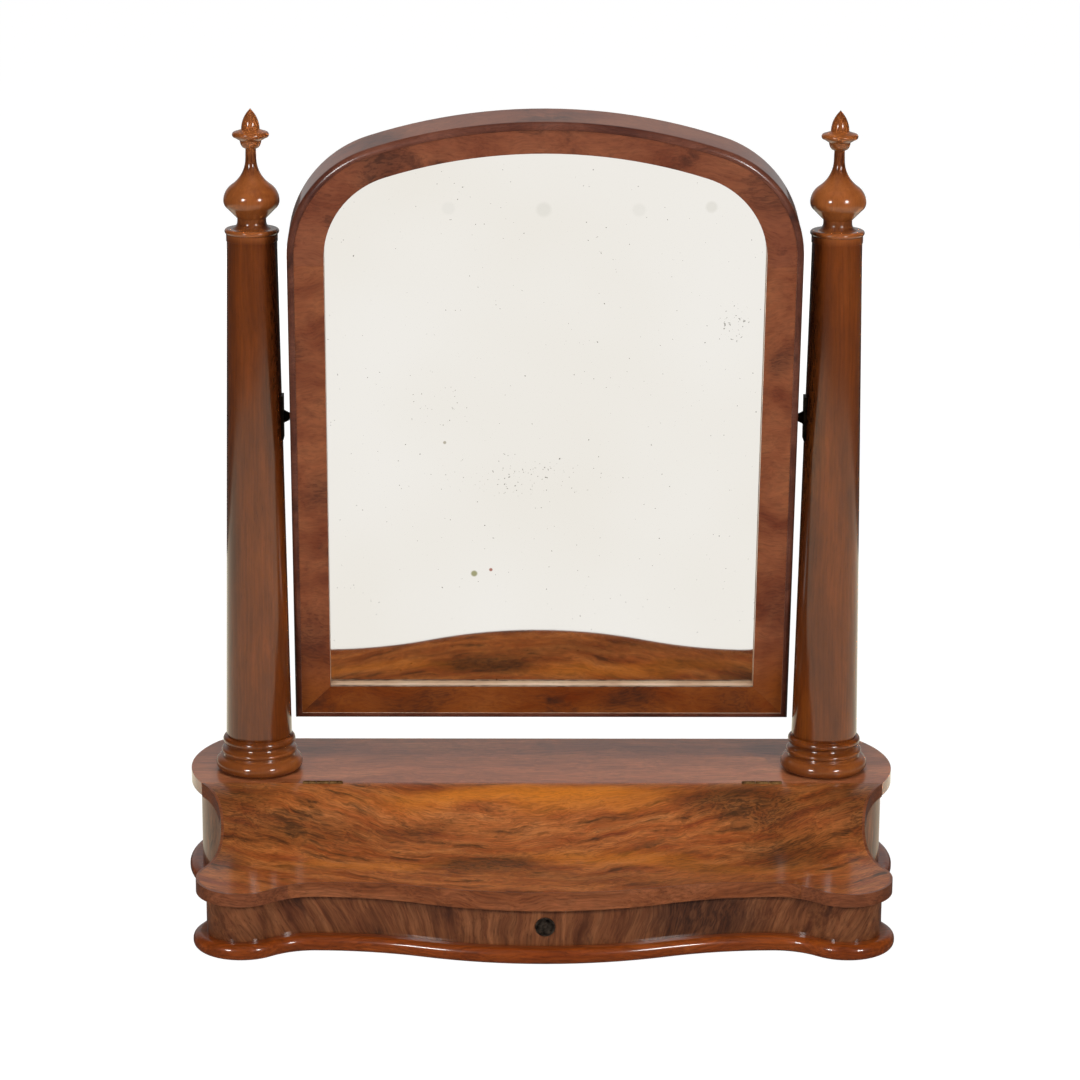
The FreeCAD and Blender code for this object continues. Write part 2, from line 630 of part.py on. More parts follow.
barrelRoom = fuse("Barrel_room", *barrels)
leafRoom = fuse("Leaf_room", *leafRooms)
pinBore = fuse("Hinge_pin_bore", *[
    round_("Hinge_bore_" + name,
           ("%s*%s-Sizes.hingeLength/2-Sizes.spare" % (sign, hingeReach), axisY, axisZ), "x",
           "Sizes.hingePin+Sizes.turningPlay", "Sizes.hingeLength+2*Sizes.spare")
    for name, sign in (("left", "-1"), ("right", "1"))])
fixedScrews, fixedHoles = screws("Hinge_screws_fixed", fixedSpots, "y")
movingScrews, movingHoles = screws("Hinge_screws_moving", movingSpots, "-y")
# the leaf under a neighbouring knuckle gives way to it
node("hinge_leaves_fixed", cut("Leaves_fixed", fuse("Leaves_fixed_blank", *fixedParts),
                               fuse("Fixed_clear", *fixedClear), pinBore, fixedHoles))
node("hinge_leaves_moving", cut("Leaves_moving", fuse("Leaves_moving_blank", *movingParts),
                                fuse("Moving_clear", *movingClear), pinBore, movingHoles))
node("hinge_pins", fuse("Hinge_pins", *pinParts))
node("hinge_screws_fixed", fixedScrews)
node("hinge_screws_moving", movingScrews)

# lock and catch
friezeFace = "(-Sizes.baseDepth/2+Sizes.wallInset)"
caseFront = "(%s+Sizes.lockSkin)" % friezeFace
caseBack = "(%s+Sizes.lockDepth)" % caseFront
caseTop = "(Sizes.lockLevel+Sizes.lockRise)"
caseLow = "(%s-Sizes.lockHeight)" % caseTop
caseMiddle = "(%s+Sizes.lockDepth/2)" % caseFront
caseBlank = box("Case_blank", "-Sizes.lockWidth/2", caseFront, caseLow,
                "Sizes.lockWidth", "Sizes.lockDepth", "Sizes.lockHeight")
caseRoom = box("Case_room", "-Sizes.lockWidth/2-Sizes.fit", caseFront, caseLow + "-Sizes.fit",
               "Sizes.lockWidth+2*Sizes.fit", "Sizes.lockDepth+3*Sizes.spare",
               "Sizes.lockHeight+3*Sizes.spare")
eyeSlot = box("Eye_slot", "-Sizes.eyeWidth/2-Sizes.eyePlay", caseMiddle + "-Sizes.slotWidth/2",
              caseTop + "-Sizes.eyeDepth-Sizes.eyePlay", "Sizes.eyeWidth+2*Sizes.eyePlay",
              "Sizes.slotWidth", "Sizes.eyeDepth+Sizes.spare")
lockSpots = [("(%d)*(Sizes.lockWidth/2-Sizes.caseScrewInset)" % side, caseBack,
              "%s%sSizes.caseScrewInset" % (edge, inward))
             for side in (-1, 1) for edge, inward in ((caseTop, "-"), (caseLow, "+"))]
lockScrews, lockHoles = screws("Lock_screws", lockSpots, "-y",
                               "(Sizes.lockDepth+Sizes.caseScrewGrip)")
node("lock_case", cut("Lock_case", caseBlank, eyeSlot, lockHoles))
node("lock_screws", lockScrews)
cupFront = "(%s-Sizes.cupProud)" % friezeFace
cupSpot = ("0", cupFront, "Sizes.lockLevel")
cupLength = "(Sizes.lockSkin+Sizes.cupProud)"
cupBlank = round_("Cup_blank", cupSpot, "y", "Sizes.cupRadius", cupLength)
cupBore = round_("Cup_bore", cupSpot, "y", "Sizes.cupRadius-Sizes.cupWall",
                 cupLength + "-Sizes.cupFloor")
cupPin = round_("Cup_pin", ("0", cupFront + "+Sizes.cupProud", "Sizes.lockLevel"), "y",
                "Sizes.cupPin", "Sizes.lockSkin")
keyhole = box("Keyhole", "-Sizes.keyholeWidth/2", cupFront + "+Sizes.cupProud",
              "Sizes.lockLevel-Sizes.keyholeDrop", "Sizes.keyholeWidth",
              "Sizes.lockSkin-Sizes.cupFloor/3", "Sizes.keyholeHeight")
node("lock_cup", cut("Lock_cup", fuse("Cup_with_pin", cut("Cup_shell", cupBlank, cupBore), cupPin),
                     keyhole))
cupRoom = round_("Cup_room", cupSpot, "y", "Sizes.cupRadius+Sizes.fit", cupLength)
node("front_frieze", cut("Front_frieze", friezeBlank, caseRoom, cupRoom, lockHoles))

catchLow = "(%s+Sizes.catchLift)" % caseTop
catchPlate = box("Catch_plate", "-Sizes.catchLength/2", caseMiddle + "-Sizes.lockDepth/2",
                 catchLow, "Sizes.catchLength", "Sizes.lockDepth", "Sizes.catchThick")
eye = box("Catch_eye", "-Sizes.eyeWidth/2", caseMiddle + "-Sizes.eyeThick/2",
          catchLow + "-Sizes.eyeDepth", "Sizes.eyeWidth", "Sizes.eyeThick",
          "Sizes.eyeDepth+Sizes.catchThick")
eyeHole = round_("Eye_hole", ("0", caseMiddle + "-Sizes.eyeThick", catchLow + "-Sizes.eyeDepth/2"), "y",
                 "Sizes.eyeHole", "2*Sizes.eyeThick")
catchSpots = [("(%d)*(Sizes.catchLength/2-Sizes.catchScrewInset)" % side, caseMiddle, catchLow)
              for side in (-1, 1)]
catchScrews, catchHoles = screws("Catch_screws", catchSpots, "z", "Sizes.catchScrewLength")
node("lock_catch", cut("Lock_catch", fuse("Catch_blank", catchPlate, eye), eyeHole, catchHoles))
node("catch_screws", catchScrews)
catchRoom = box("Catch_room", "-Sizes.catchLength/2-Sizes.fit",
                caseMiddle + "-Sizes.lockDepth/2-Sizes.fit", catchLow + "-Sizes.spare",
                "Sizes.catchLength+2*Sizes.fit", "Sizes.lockDepth+2*Sizes.fit",
                "Sizes.spare+Sizes.catchThick+Sizes.fit")
node("lid_panel", cut("Lid_panel", lidPanelBlank, barrelRoom, leafRoom, movingHoles,
                      catchRoom, catchHoles))

# columns, finials
def swell(first, last):
    """Radius of an arc between two corners that is upright at one of them."""
    return "(((%s)-(%s))^2+((%s)-(%s))^2)/(2*abs((%s)-(%s)))" % (
        first[0], last[0], first[1], last[1], first[0], last[0])


torusCore = "Sizes.torusRadius-Sizes.torusHeight/2"
ringCore = "Sizes.ringRadius-Sizes.ringHeight/2"
ringTop = "Sizes.ringLevel+Sizes.ringHeight"
astragalCore = "Sizes.astragalRadius-Sizes.astragalHeight/2"
astragalTop = "Sizes.astragalLevel+Sizes.astragalHeight"
collarCore = "Sizes.collarRadius-Sizes.collarHeight/2"
collarLow = "(Sizes.columnLength-Sizes.collarHeight)"
shaftEnd = "(%s-Sizes.fasciaHeight)" % collarLow
socket = "Sizes.spigotRadius+Sizes.fit"
socketLow = "Sizes.columnLength-Sizes.spigotLength-0.5"
columnPath = [
    ("0", "-Sizes.tenonLength"), None,
    ("Sizes.tenonRadius", "-Sizes.tenonLength"), None,
    ("Sizes.tenonRadius", "0"), None,
    (torusCore, "0"), ("half", 1),
    (torusCore, "Sizes.torusHeight"), None,
    (ringCore, "Sizes.ringLevel"), ("half", 1),
    (ringCore, ringTop), ("(Sizes.astragalLevel-Sizes.ringLevel)/2", -1),
    (astragalCore, "Sizes.astragalLevel"), ("half", 1),
    (astragalCore, astragalTop), None,
    ("Sizes.shaftFoot", "Sizes.shaftStart"), None,
    ("Sizes.shaftTop", shaftEnd), None,
    ("Sizes.fasciaRadius", shaftEnd), None,
    ("Sizes.fasciaRadius", collarLow), None,
    (collarCore, collarLow), ("half", 1),
    (collarCore, "Sizes.columnLength"), None,
    (socket, "Sizes.columnLength"), None,
    (socket, socketLow), None,
    ("0", socketLow), None,
]


def level(share):
    return "%s*Sizes.finialLength" % share


flareFoot = (collarCore, "0")
neckLow = ("Sizes.finialNeck", level(0.061))
neckHigh = ("Sizes.finialNeck", level(0.086))
bulbLow = ("0.86*Sizes.finialBulb", level(0.168))
bulb = ("Sizes.finialBulb", level(0.232))
waist = ("0.687*Sizes.finialBulb", level(0.368))
stem = ("Sizes.finialStem", level(0.589))
stemTop = ("0.96*Sizes.finialStem", level(0.665))
cupLow = ("0.42*Sizes.finialDisc", level(0.674))
cupEdge = ("0.58*Sizes.finialDisc", level(0.732))
discLow = ("0.85*Sizes.finialDisc", level(0.757))
discRim = ("Sizes.finialDisc", level(0.782))
discHigh = ("0.85*Sizes.finialDisc", level(0.807))
acornFoot = ("Sizes.finialAcorn", level(0.825))
acornTip = ("0.12*Sizes.finialAcorn", level(0.988))
finialPath = [
    ("0", "-Sizes.spigotLength"), None,
    ("Sizes.spigotRadius", "-Sizes.spigotLength"), None,
    ("Sizes.spigotRadius", "0"), None,
    flareFoot, (swell(flareFoot, neckLow), -1),
    neckLow, None,
    neckHigh, None,
    bulbLow, (swell(bulbLow, bulb), 1),
    bulb, (swell(bulb, waist), 1),
    waist, (swell(waist, stem), -1),
    stem, None,
    stemTop, None,
    cupLow, (swell(cupLow, cupEdge), 1),
    cupEdge, None,
    discLow, (swell(discLow, discRim), 1),
    discRim, (swell(discRim, discHigh), 1),
    discHigh, None,
    acornFoot, (swell(acornFoot, acornTip), 1),
    acornTip, None,
    ("0", "Sizes.finialLength"), None,
]
pivot = ("0", columnY, "Sizes.pivotHeight")
plateFace = "(%s-Sizes.plateSeat-Sizes.plateThick)" % columnReach
seatFace = "(%s-Sizes.plateSeat)" % columnReach
halfPlate = "Sizes.plateLength/2"
plateScrewHoles = []
plateScrewSolids = []
tenonHoles = []
blocks = []
for name, sign in (("left", -1), ("right", 1)):
    def span(near, far):
        """Lower x of the band near..far on this side."""
        return near if sign > 0 else "-(%s)" % far

    outward = "x" if sign > 0 else "-x"
    inward = "-x" if sign > 0 else "x"
    side = "(%d)*" % sign
    axisX = side + columnReach
    blank = place(revolve("Column_blank_" + name, columnPath), axisX, columnY, "Sizes.seamHeight")
    seat = box("Plate_seat_" + name, span(seatFace + "-2*Sizes.spare", seatFace),
               columnY + "-Sizes.plateWidth/2-Sizes.fit",
               "Sizes.pivotHeight-%s-Sizes.fit" % halfPlate, "2*Sizes.spare",
               "Sizes.plateWidth+2*Sizes.fit", "Sizes.plateLength+2*Sizes.fit")
    spots = [(side + plateFace, columnY, "Sizes.pivotHeight%sSizes.plateScrew" % up)
             for up in ("-", "+")]
    solids, holes = screws("Plate_screws_" + name, spots, outward)
    plateScrewSolids.append(solids)
    tailHole = round_("Tail_hole_" + name, (side + plateFace, columnY, "Sizes.pivotHeight"),
                      outward, "Sizes.pinRadius+Sizes.fit",
                      "Sizes.plateThick+Sizes.tailLength+Sizes.fit")
    node("column_" + name, cut("Column_" + name, blank, seat, holes, tailHole))
    plate = box("Plate_blank_" + name, span(plateFace, seatFace), columnY + "-Sizes.plateWidth/2",
                "Sizes.pivotHeight-" + halfPlate, "Sizes.plateThick", "Sizes.plateWidth",
                "Sizes.plateLength")
    node("column_plate_" + name, cut("Column_plate_" + name, plate, holes, tailHole))
    bossLength = "(Sizes.pivotGap-Sizes.bossGap)"
    stud = fuse(
        "Pivot_stud_" + name,
        round_("Stud_tail_" + name, (side + plateFace, columnY, "Sizes.pivotHeight"), outward,
               "Sizes.pinRadius", "Sizes.plateThick+Sizes.tailLength"),
        round_("Stud_boss_" + name, (side + plateFace, columnY, "Sizes.pivotHeight"), inward,
               "Sizes.bossRadius", bossLength, "Sizes.bossTip"),
        round_("Stud_pin_" + name, (side + plateFace, columnY, "Sizes.pivotHeight"), inward,
               "Sizes.pinRadius", "Sizes.pivotGap+Sizes.pinLength"))
    node("pivot_stud_" + name, stud)
    finial = revolve("Finial_" + name, finialPath)
    place(finial, axisX, columnY, "Sizes.seamHeight+Sizes.columnLength")
    node("finial_" + name, finial)
    tenonHoles.append(round_("Tenon_hole_" + name,
                             (axisX, columnY, "Sizes.seamHeight-Sizes.tenonLength-Sizes.spare"),
                             "z", "Sizes.tenonRadius+Sizes.fit",
                             "Sizes.tenonLength+2*Sizes.spare"))
    blocks.append(box("Column_block_" + name, axisX + "-Sizes.columnBlock/2",
                      columnY + "-Sizes.columnBlock/2", boardUnder + "-Sizes.columnBlockThick",
                      "Sizes.columnBlock", "Sizes.columnBlock", "Sizes.columnBlockThick"))

node("column_plate_screws", fuse("Column_plate_screws", *plateScrewSolids))
tenonRoom = fuse("Tenon_room", *tenonHoles)
partitionBack = box("Partition_back", "-" + reach, seam + "-Sizes.spare", "0", "2*" + reach,
                    "Sizes.spare+Sizes.railThick", "Sizes.seamHeight")
node("column_blocks", cut("Column_blocks", fuse("Column_block_pair", *blocks), tenonRoom,
                          partitionBack))

# rear board
boardPlan = planSolid("Rear_board_blank", boardUnder, "Sizes.boardThick", "Sizes.boardInset")
boardZone = box("Rear_board_zone", "-" + reach, seam, "0", "2*" + reach, depth, "2*Sizes.seamHeight")
node("rear_board", cut("Rear_board", common("Rear_board_cut", boardPlan, boardZone),
                       barrelRoom, leafRoom, fixedHoles, tenonRoom))

# mirror, drawn round its pivot
outer = (frameReach, "Sizes.frameBelow", "Sizes.frameAbove", "Sizes.haunchRadius")
sight = (sightReach, sightBelow, sightAbove, sightHaunch)
frameFront = "(-Sizes.frameDepth/2)"
frameBack = "(Sizes.frameDepth/2)"


def archPath(reach_, below, above, haunch, grow="0"):
    """Straight-sided outline with a three-arc head, grown outwards."""
    wide = "(%s+%s)" % (reach_, grow)
    low = "-(%s+%s)" % (below, grow)
    high = "(%s+%s)" % (above, grow)
    turn = "(%s+%s)" % (haunch, grow)
    spring = springing
    rise = "(%s-%s)" % (high, spring)
    crown = "(((%s-%s)^2+%s^2-%s^2)/(2*(%s-%s)))" % (wide, turn, rise, turn, rise, turn)
    grown = "(%s/(%s-%s))" % (crown, crown, turn)
    meetX = "(%s-%s)*%s" % (wide, turn, grown)
    meetY = "(%s-%s)+(%s-%s)*%s" % (high, crown, crown, rise, grown)
    return [
        ("-" + wide, low), None, (wide, low), None,
        (wide, spring), (turn, 1), (meetX, meetY), (crown, 1),
        ("-(%s)" % meetX, meetY), (turn, 1), ("-" + wide, spring), None,
    ]


def slab(name, path, front_, back_):
    """Solid between two depths, drawn as seen from the front."""
    sketch = place(freeSketch(name + "_outline", "XZ", path), y=back_)
    return extrude(name, sketch, "(%s)-(%s)" % (back_, front_))


frameBody = doc.addObject("PartDesign::Body", "Frame_outer")
frameSketch = frameBody.newObject("Sketcher::SketchObject", "Frame_outline")
frontPlane = [item for item in frameBody.Origin.OriginFeatures if item.Role == "XZ_Plane"][0]
frameSketch.AttachmentSupport = [(frontPlane, "")]
frameSketch.MapMode = "FlatFace"
drawPath(frameSketch, archPath(*outer))
framePad = frameBody.newObject("PartDesign::Pad", "Frame_pad")
framePad.Profile = frameSketch
framePad.SideType = "Symmetric"
bind(framePad, Length="Sizes.frameDepth")
doc.recompute()
frontFaces = ["Face%d" % (index + 1) for index, face in enumerate(framePad.Shape.Faces)
              if face.CenterOfMass.y < -0.4 * size("frameDepth")]
frameFillet = frameBody.newObject("PartDesign::Fillet", "Frame_round")
frameFillet.Base = (framePad, frontFaces)
bind(frameFillet, Radius="Sizes.frameRound")

lipBack = "(%s+Sizes.lipDepth)" % frameFront
boardFront = "(%s-Sizes.backSink-Sizes.backThick)" % frameBack
# the face lies a little behind the rounded band along the outer edge
faceRoom = slab("Face_room", archPath(*outer, grow="(-Sizes.bandWidth)"),
                frameFront + "-Sizes.spare", frameFront + "+Sizes.bandStep")
sightHole = slab("Sight_hole", archPath(*sight), frameFront + "-Sizes.spare", frameBack + "+Sizes.spare")
glassHole = slab("Glass_hole", archPath(*sight, grow="Sizes.glassRebate"), lipBack,
                 frameBack + "+Sizes.spare")
boardHole = slab("Backboard_hole", archPath(*sight, grow="Sizes.backRebate"), boardFront,
                 frameBack + "+Sizes.spare")
bore = fuse("Pivot_bores", *[
    round_("Pivot_bore_" + name, ("(%d)*(%s+Sizes.pinRoom)" % (sign, frameReach), "0", "0"),
           "-x" if sign > 0 else "x", "Sizes.pinRadius+Sizes.pinRoom", "Sizes.pinLength+3*Sizes.pinRoom")
    for name, sign in (("left", -1), ("right", 1))])
plateSeats = []
plateBlanks = {}
frameScrewSets = []
frameHoleSets = []
for name, sign in (("left", -1), ("right", 1)):
    inner = "(%s-Sizes.plateThick)" % frameReach
    low = inner if sign > 0 else "-" + frameReach
    plateBlanks[name] = box("Frame_plate_blank_" + name, low, "-Sizes.plateWidth/2",
                            "-" + halfPlate, "Sizes.plateThick", "Sizes.plateWidth",
                            "Sizes.plateLength")
    low = inner if sign > 0 else "-%s-Sizes.spare" % frameReach
    plateSeats.append(box("Frame_plate_seat_" + name, low, "-Sizes.plateWidth/2-Sizes.fit",
                          "-%s-Sizes.fit" % halfPlate, "Sizes.plateThick+Sizes.spare",
                          "Sizes.plateWidth+2*Sizes.fit", "Sizes.plateLength+2*Sizes.fit"))
    spots = [("(%d)*%s" % (sign, frameReach), "0", "%sSizes.plateScrew" % up)
             for up in ("-", "")]
    solids, holes = screws("Frame_plate_screws_" + name, spots, "-x" if sign > 0 else "x")
    frameScrewSets.append(solids)
    frameHoleSets.append(holes)
frameHoles = fuse("Frame_plate_holes", *frameHoleSets)

boardFace = "(%s-Sizes.backSink)" % frameBack
inset = "(Sizes.glassRebate+(Sizes.backRebate-Sizes.glassRebate)/2)"
backSpots = [("(%d)*(%s+%s)" % (sign, sightReach, inset), boardFace, height)
             for sign in (-1, 1)
             for height in ("-0.75*" + sightBelow, "-0.2*" + sightBelow, "0.6*" + springing)]
backSpots += [("(%d)*0.4*%s" % (sign, sightReach), boardFace, "-(%s+%s)" % (sightBelow, inset))
              for sign in (-1, 1)]
backSpots.append(("0", boardFace, sightAbove + "+" + inset))
backScrews, backHoles = screws("Backboard_screws", backSpots, "-y", "Sizes.backScrewLength")

ring = cut("Frame_ring", frameBody, faceRoom, sightHole, glassHole, boardHole, bore,
           fuse("Frame_plate_seats", *plateSeats), frameHoles, backHoles)
mitre = slab("Mitre", [
    ("-" + frameReach, "-Sizes.frameBelow"), None,
    (frameReach, "-Sizes.frameBelow"), None,
    ("0", "-Sizes.frameBelow+" + frameReach), None],
    frameFront + "-Sizes.spare", frameBack + "+Sizes.spare")


def mirrorNode(name, thing):
    """Lean a piece of the mirror about the pivot axis and name it."""
    thing.Placement = FreeCAD.Placement(vector(), FreeCAD.Rotation(vector(1, 0, 0), size("restTilt")))
    thing.setExpression(".Placement.Rotation.Angle", "Sizes.restTilt")
    place(thing, *pivot)
    return node(name, thing)


mirrorNode("bottom_rail", common("Bottom_rail", ring, mitre))
for name, start in (("left", "-%s-Sizes.spare" % frameReach), ("right", "0")):
    zone = box("Stile_zone_" + name, start, frameFront + "-Sizes.spare",
               "-Sizes.frameBelow-Sizes.spare", frameReach + "+Sizes.spare",
               "Sizes.frameDepth+2*Sizes.spare", "Sizes.frameBelow+Sizes.spare+" + archJoint)
    mirrorNode("stile_" + name, common("Stile_" + name, cut("Ring_above_" + name, ring, mitre),
                                       zone))
mirrorNode("arch_top", common("Arch_top", ring, box(
    "Arch_zone", "-%s-Sizes.spare" % frameReach, frameFront + "-Sizes.spare", archJoint,
    "2*%s+2*Sizes.spare" % frameReach, "Sizes.frameDepth+2*Sizes.spare", "Sizes.frameAbove")))
mirrorNode("mirror_glass", slab(
    "Mirror_glass", archPath(*sight, grow="(Sizes.glassRebate-Sizes.glassPlay)"),
    lipBack, lipBack + "+Sizes.glassThick"))
backboard = slab("Backboard_blank",
                 archPath(*sight, grow="(Sizes.backRebate-Sizes.glassPlay)"),
                 boardFront, boardFace)
mirrorNode("backboard", cut("Backboard", backboard, backHoles))
mirrorNode("backboard_screws", backScrews)
glazing = []
glassBack = "(%s+Sizes.glassThick)" % lipBack
rebate = "(%s+Sizes.glassRebate)" % sightReach
blockDeep = "%s-%s" % (boardFront, glassBack)
for name, sign in (("left", -1), ("right", 1)):
    for tag, height in (("a", "-0.8*" + sightBelow), ("b", "-0.1*" + sightBelow),
                        ("c", "0.7*" + springing)):
        low = rebate + "-Sizes.blockWidth" if sign > 0 else "-" + rebate
        glazing.append(box("Glazing_block_%s_%s" % (name, tag), low, glassBack,
                           height + "-Sizes.blockLength/2", "Sizes.blockWidth", blockDeep,
                           "Sizes.blockLength"))
    glazing.append(box("Glazing_block_%s_d" % name,
                       "(%d)*0.55*%s-Sizes.blockLength/2" % (sign, sightReach), glassBack,
                       "-(%s+Sizes.glassRebate)" % sightBelow, "Sizes.blockLength", blockDeep,
                       "Sizes.blockWidth"))
mirrorNode("glazing_blocks", fuse("Glazing_blocks", *glazing))
for name, sign in (("left", -1), ("right", 1)):
    pinHole = round_("Plate_bore_" + name, ("(%d)*(%s+Sizes.spare)" % (sign, frameReach), "0", "0"),
                     "-x" if sign > 0 else "x", "Sizes.pinRadius+Sizes.turningPlay", "2*Sizes.spare")
    mirrorNode("frame_plate_" + name, cut("Frame_plate_" + name, plateBlanks[name], pinHole,
                                          frameHoles))
mirrorNode("frame_plate_screws", fuse("Frame_plate_screws", *frameScrewSets))

# output
doc.recompute()
faults = [thing.Name for thing in doc.Objects
          if "Invalid" in thing.State or "Error" in thing.State]
faults += [name for name, thing in nodes.items()
           if thing.Shape.isNull() or not thing.Shape.isValid()]
if faults:
    raise RuntimeError("not built: " + ", ".join(faults))
for name, thing in nodes.items():
    thing.Shape.exportStep("parts/%s.step" % name)
print(len(nodes), "nodes written")
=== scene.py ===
import math

import bpy
from mathutils import Matrix, Vector


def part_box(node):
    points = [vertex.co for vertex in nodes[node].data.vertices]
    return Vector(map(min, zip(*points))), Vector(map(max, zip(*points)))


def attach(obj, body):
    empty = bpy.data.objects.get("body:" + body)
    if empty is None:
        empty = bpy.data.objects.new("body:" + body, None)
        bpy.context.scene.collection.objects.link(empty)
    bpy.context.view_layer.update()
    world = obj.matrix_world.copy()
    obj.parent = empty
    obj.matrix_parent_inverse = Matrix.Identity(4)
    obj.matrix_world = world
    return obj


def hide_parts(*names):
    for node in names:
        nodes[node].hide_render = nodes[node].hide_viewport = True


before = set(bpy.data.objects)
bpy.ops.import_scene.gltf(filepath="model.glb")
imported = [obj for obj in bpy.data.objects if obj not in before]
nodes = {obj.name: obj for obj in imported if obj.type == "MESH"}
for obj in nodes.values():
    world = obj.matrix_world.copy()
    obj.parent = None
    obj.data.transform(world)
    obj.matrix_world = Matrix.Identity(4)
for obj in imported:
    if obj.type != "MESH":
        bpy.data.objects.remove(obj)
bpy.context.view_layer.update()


# sRGB hex to linear red, green, blue and alpha
def linear(hexColour):
    parts = [int(hexColour[i:i + 2], 16) / 255 for i in (1, 3, 5)]
    return tuple(c / 12.92 if c <= 0.04045 else ((c + 0.055) / 1.055) ** 2.4 for c in parts) + (1,)


# adds a node, sets its properties or input values, and links sockets into it
def addNode(tree, kind, settings=None, links=None):
    node = tree.nodes.new(kind)
    for key, value in (settings or {}).items():
        if isinstance(key, str) and hasattr(node, key):
            setattr(node, key, value)
        else:
            node.inputs[key].default_value = value
    for key, socket in (links or {}).items():
        tree.links.new(socket, node.inputs[key])
    return node


def setRamp(node, stops):
    ramp = node.color_ramp
    while len(ramp.elements) > 1:
        ramp.elements.remove(ramp.elements[0])
    for index, (place, colour) in enumerate(stops):
        stop = ramp.elements[0] if index == 0 else ramp.elements.new(place)
        stop.position = place
        stop.color = linear(colour)
    return node


def newMaterial(name):
    material = bpy.data.materials.new(name)
    material.use_nodes = True
    tree = material.node_tree
    tree.nodes.clear()
    output = addNode(tree, "ShaderNodeOutputMaterial")
    return material, tree, output


# soft-edged patch about a spot: depth within the core, falling to 0 at the radii
def softPatch(tree, place, spot, radii, core, depth):
    reach = addNode(tree, "ShaderNodeVectorMath", {"operation": "SUBTRACT", 1: spot},
                    {0: place}).outputs[0]
    scaled = addNode(tree, "ShaderNodeVectorMath",
                     {"operation": "MULTIPLY", 1: [1 / r for r in radii]},
                     {0: reach}).outputs[0]
    away = addNode(tree, "ShaderNodeVectorMath", {"operation": "LENGTH"},
                   {0: scaled}).outputs["Value"]
    return addNode(tree, "ShaderNodeMapRange",
                   {"interpolation_type": "SMOOTHSTEP", "From Min": 1.0, "From Max": core,
                    "To Min": 0.0, "To Max": depth}, {"Value": away}).outputs[0]


# colours laid over a ground one after another, each by its own mask
def layOver(tree, ground, layers):
    colour = ground
    for shade, mask in layers:
        colour = addNode(tree, "ShaderNodeMix", {"data_type": "RGBA", 7: linear(shade)},
                         {0: mask, 6: colour}).outputs[2]
    return colour


def dress(material, *names):
    for name in names:
        nodes[name].data.materials.clear()
        nodes[name].data.materials.append(material)


# French polish: thin shellac over the veneer, so a glossy coat over a satin ground.
# Lengths are in metres, and the grain runs along local X after the turn.
woodBase = {
    "turn": (0, 0, 0),          # degrees
    "sweep": 0.0,               # how far the grain runs back towards the ends
    "sweepCentre": 0.0,
    "sweepRound": 0.006,        # rounds the point of the flame, square metres
    "fan": 0.0,                 # share per metre by which the lines close up along the grain
    "curl": 0.0,                # size of fine swirls
    "curlsPerMetre": 34.0,
    "warp": 0.012,              # waviness of the grain
    "warpSpacing": 0.12,
    "figureLength": 0.16,       # one figure along the grain
    "figureWidth": 0.02,        # and across it
    "tones": [(0.25, "#5a2a16"), (0.5, "#7c4224"), (0.75, "#9a5c33")],
    "lineWidth": 0.0022,        # spacing of the fine grain lines
    "lineStretch": 30,          # their length in widths
    "lineDepth": 0.35,
    "lineLift": 0.4,            # how far the light lines rise, as a share of that
    "lineLevels": (0.35, 0.65),
    "poreWidth": 0.0007,        # drawn twice as wide as real pores, so that they show
    "poreStretch": 14,
    "poreDepth": 0.35,
    "poreLevels": (0.30, 0.42),
    "streak": "#3a2a1c",        # dark of the streaks, flecks and patches
    "streakAmount": 0.0,
    "streakLength": 0.2,
    "streakWidth": 0.03,
    "streakLevels": (0.62, 0.2, 0.13),  # start, how much lower it gets, width of the edge
    "streakDepth": 0.85,
    "fleck": 0.0,               # short dark flecks all over
    "fleckLength": 0.009,
    "fleckWidth": 0.0016,
    "fleckLevels": (0.46, 0.62),
    "glow": "#c07a30",          # bright of the glows
    "glows": [],                # (place, radii, depth) of bright feathered patches
    "patches": [],              # the same for dark ones
    "patchCore": 0.25,          # share of a patch that has its whole depth
    "patchWander": 1.6,         # how far its edge follows the waves of the grain
    "patchSpeckle": 0.62,       # depth of a dark patch between the flecks
    "edge": 0.0008,             # arrises worn round
    "grainStrength": 0.04,
    "grainHeight": 0.0003,
    "roughness": 0.36,
    "roughSpread": (-0.05, 0.07),
    "shine": 0.16,
    "coat": 0.75,
    "coatRoughness": 0.06,
    "polishIor": 1.5,           # shellac
    "seed": 0.0,
}


# seed step, detail and roughness of each noise of the grain
grainNoises = {"warp": (0.0, 3.0, 0.5), "curl": (2.0, 2.0, 0.5), "figure": (1.3, 5.0, 0.55),
               "lines": (4.1, 3.0, 0.55), "pores": (7.7, 1.0, 0.55),
               "streaks": (11.9, 6.0, 0.65), "flecks": (17.3, 2.0, 0.6)}


# point moved about by the size or a little more each way, and the move itself:
# four times the noise, because it seldom leaves the middle half of 0 to 1
def ripple(tree, point, seed, kind, size, perMetre):
    step, detail, rough = grainNoises[kind]
    drift = addNode(tree, "ShaderNodeTexNoise",
                    {"noise_dimensions": "4D", "W": seed + step, "Scale": perMetre,
                     "Detail": detail, "Roughness": rough}, {"Vector": point}).outputs["Color"]
    level = addNode(tree, "ShaderNodeVectorMath", {"operation": "SUBTRACT", 1: (0.5, 0.5, 0.5)},
                    {0: drift}).outputs[0]
    wave = addNode(tree, "ShaderNodeVectorMath", {"operation": "MULTIPLY", 1: [4 * size] * 3},
                   {0: level}).outputs[0]
    moved = addNode(tree, "ShaderNodeVectorMath", {"operation": "ADD"},
                    {0: point, 1: wave}).outputs[0]
    return moved, wave


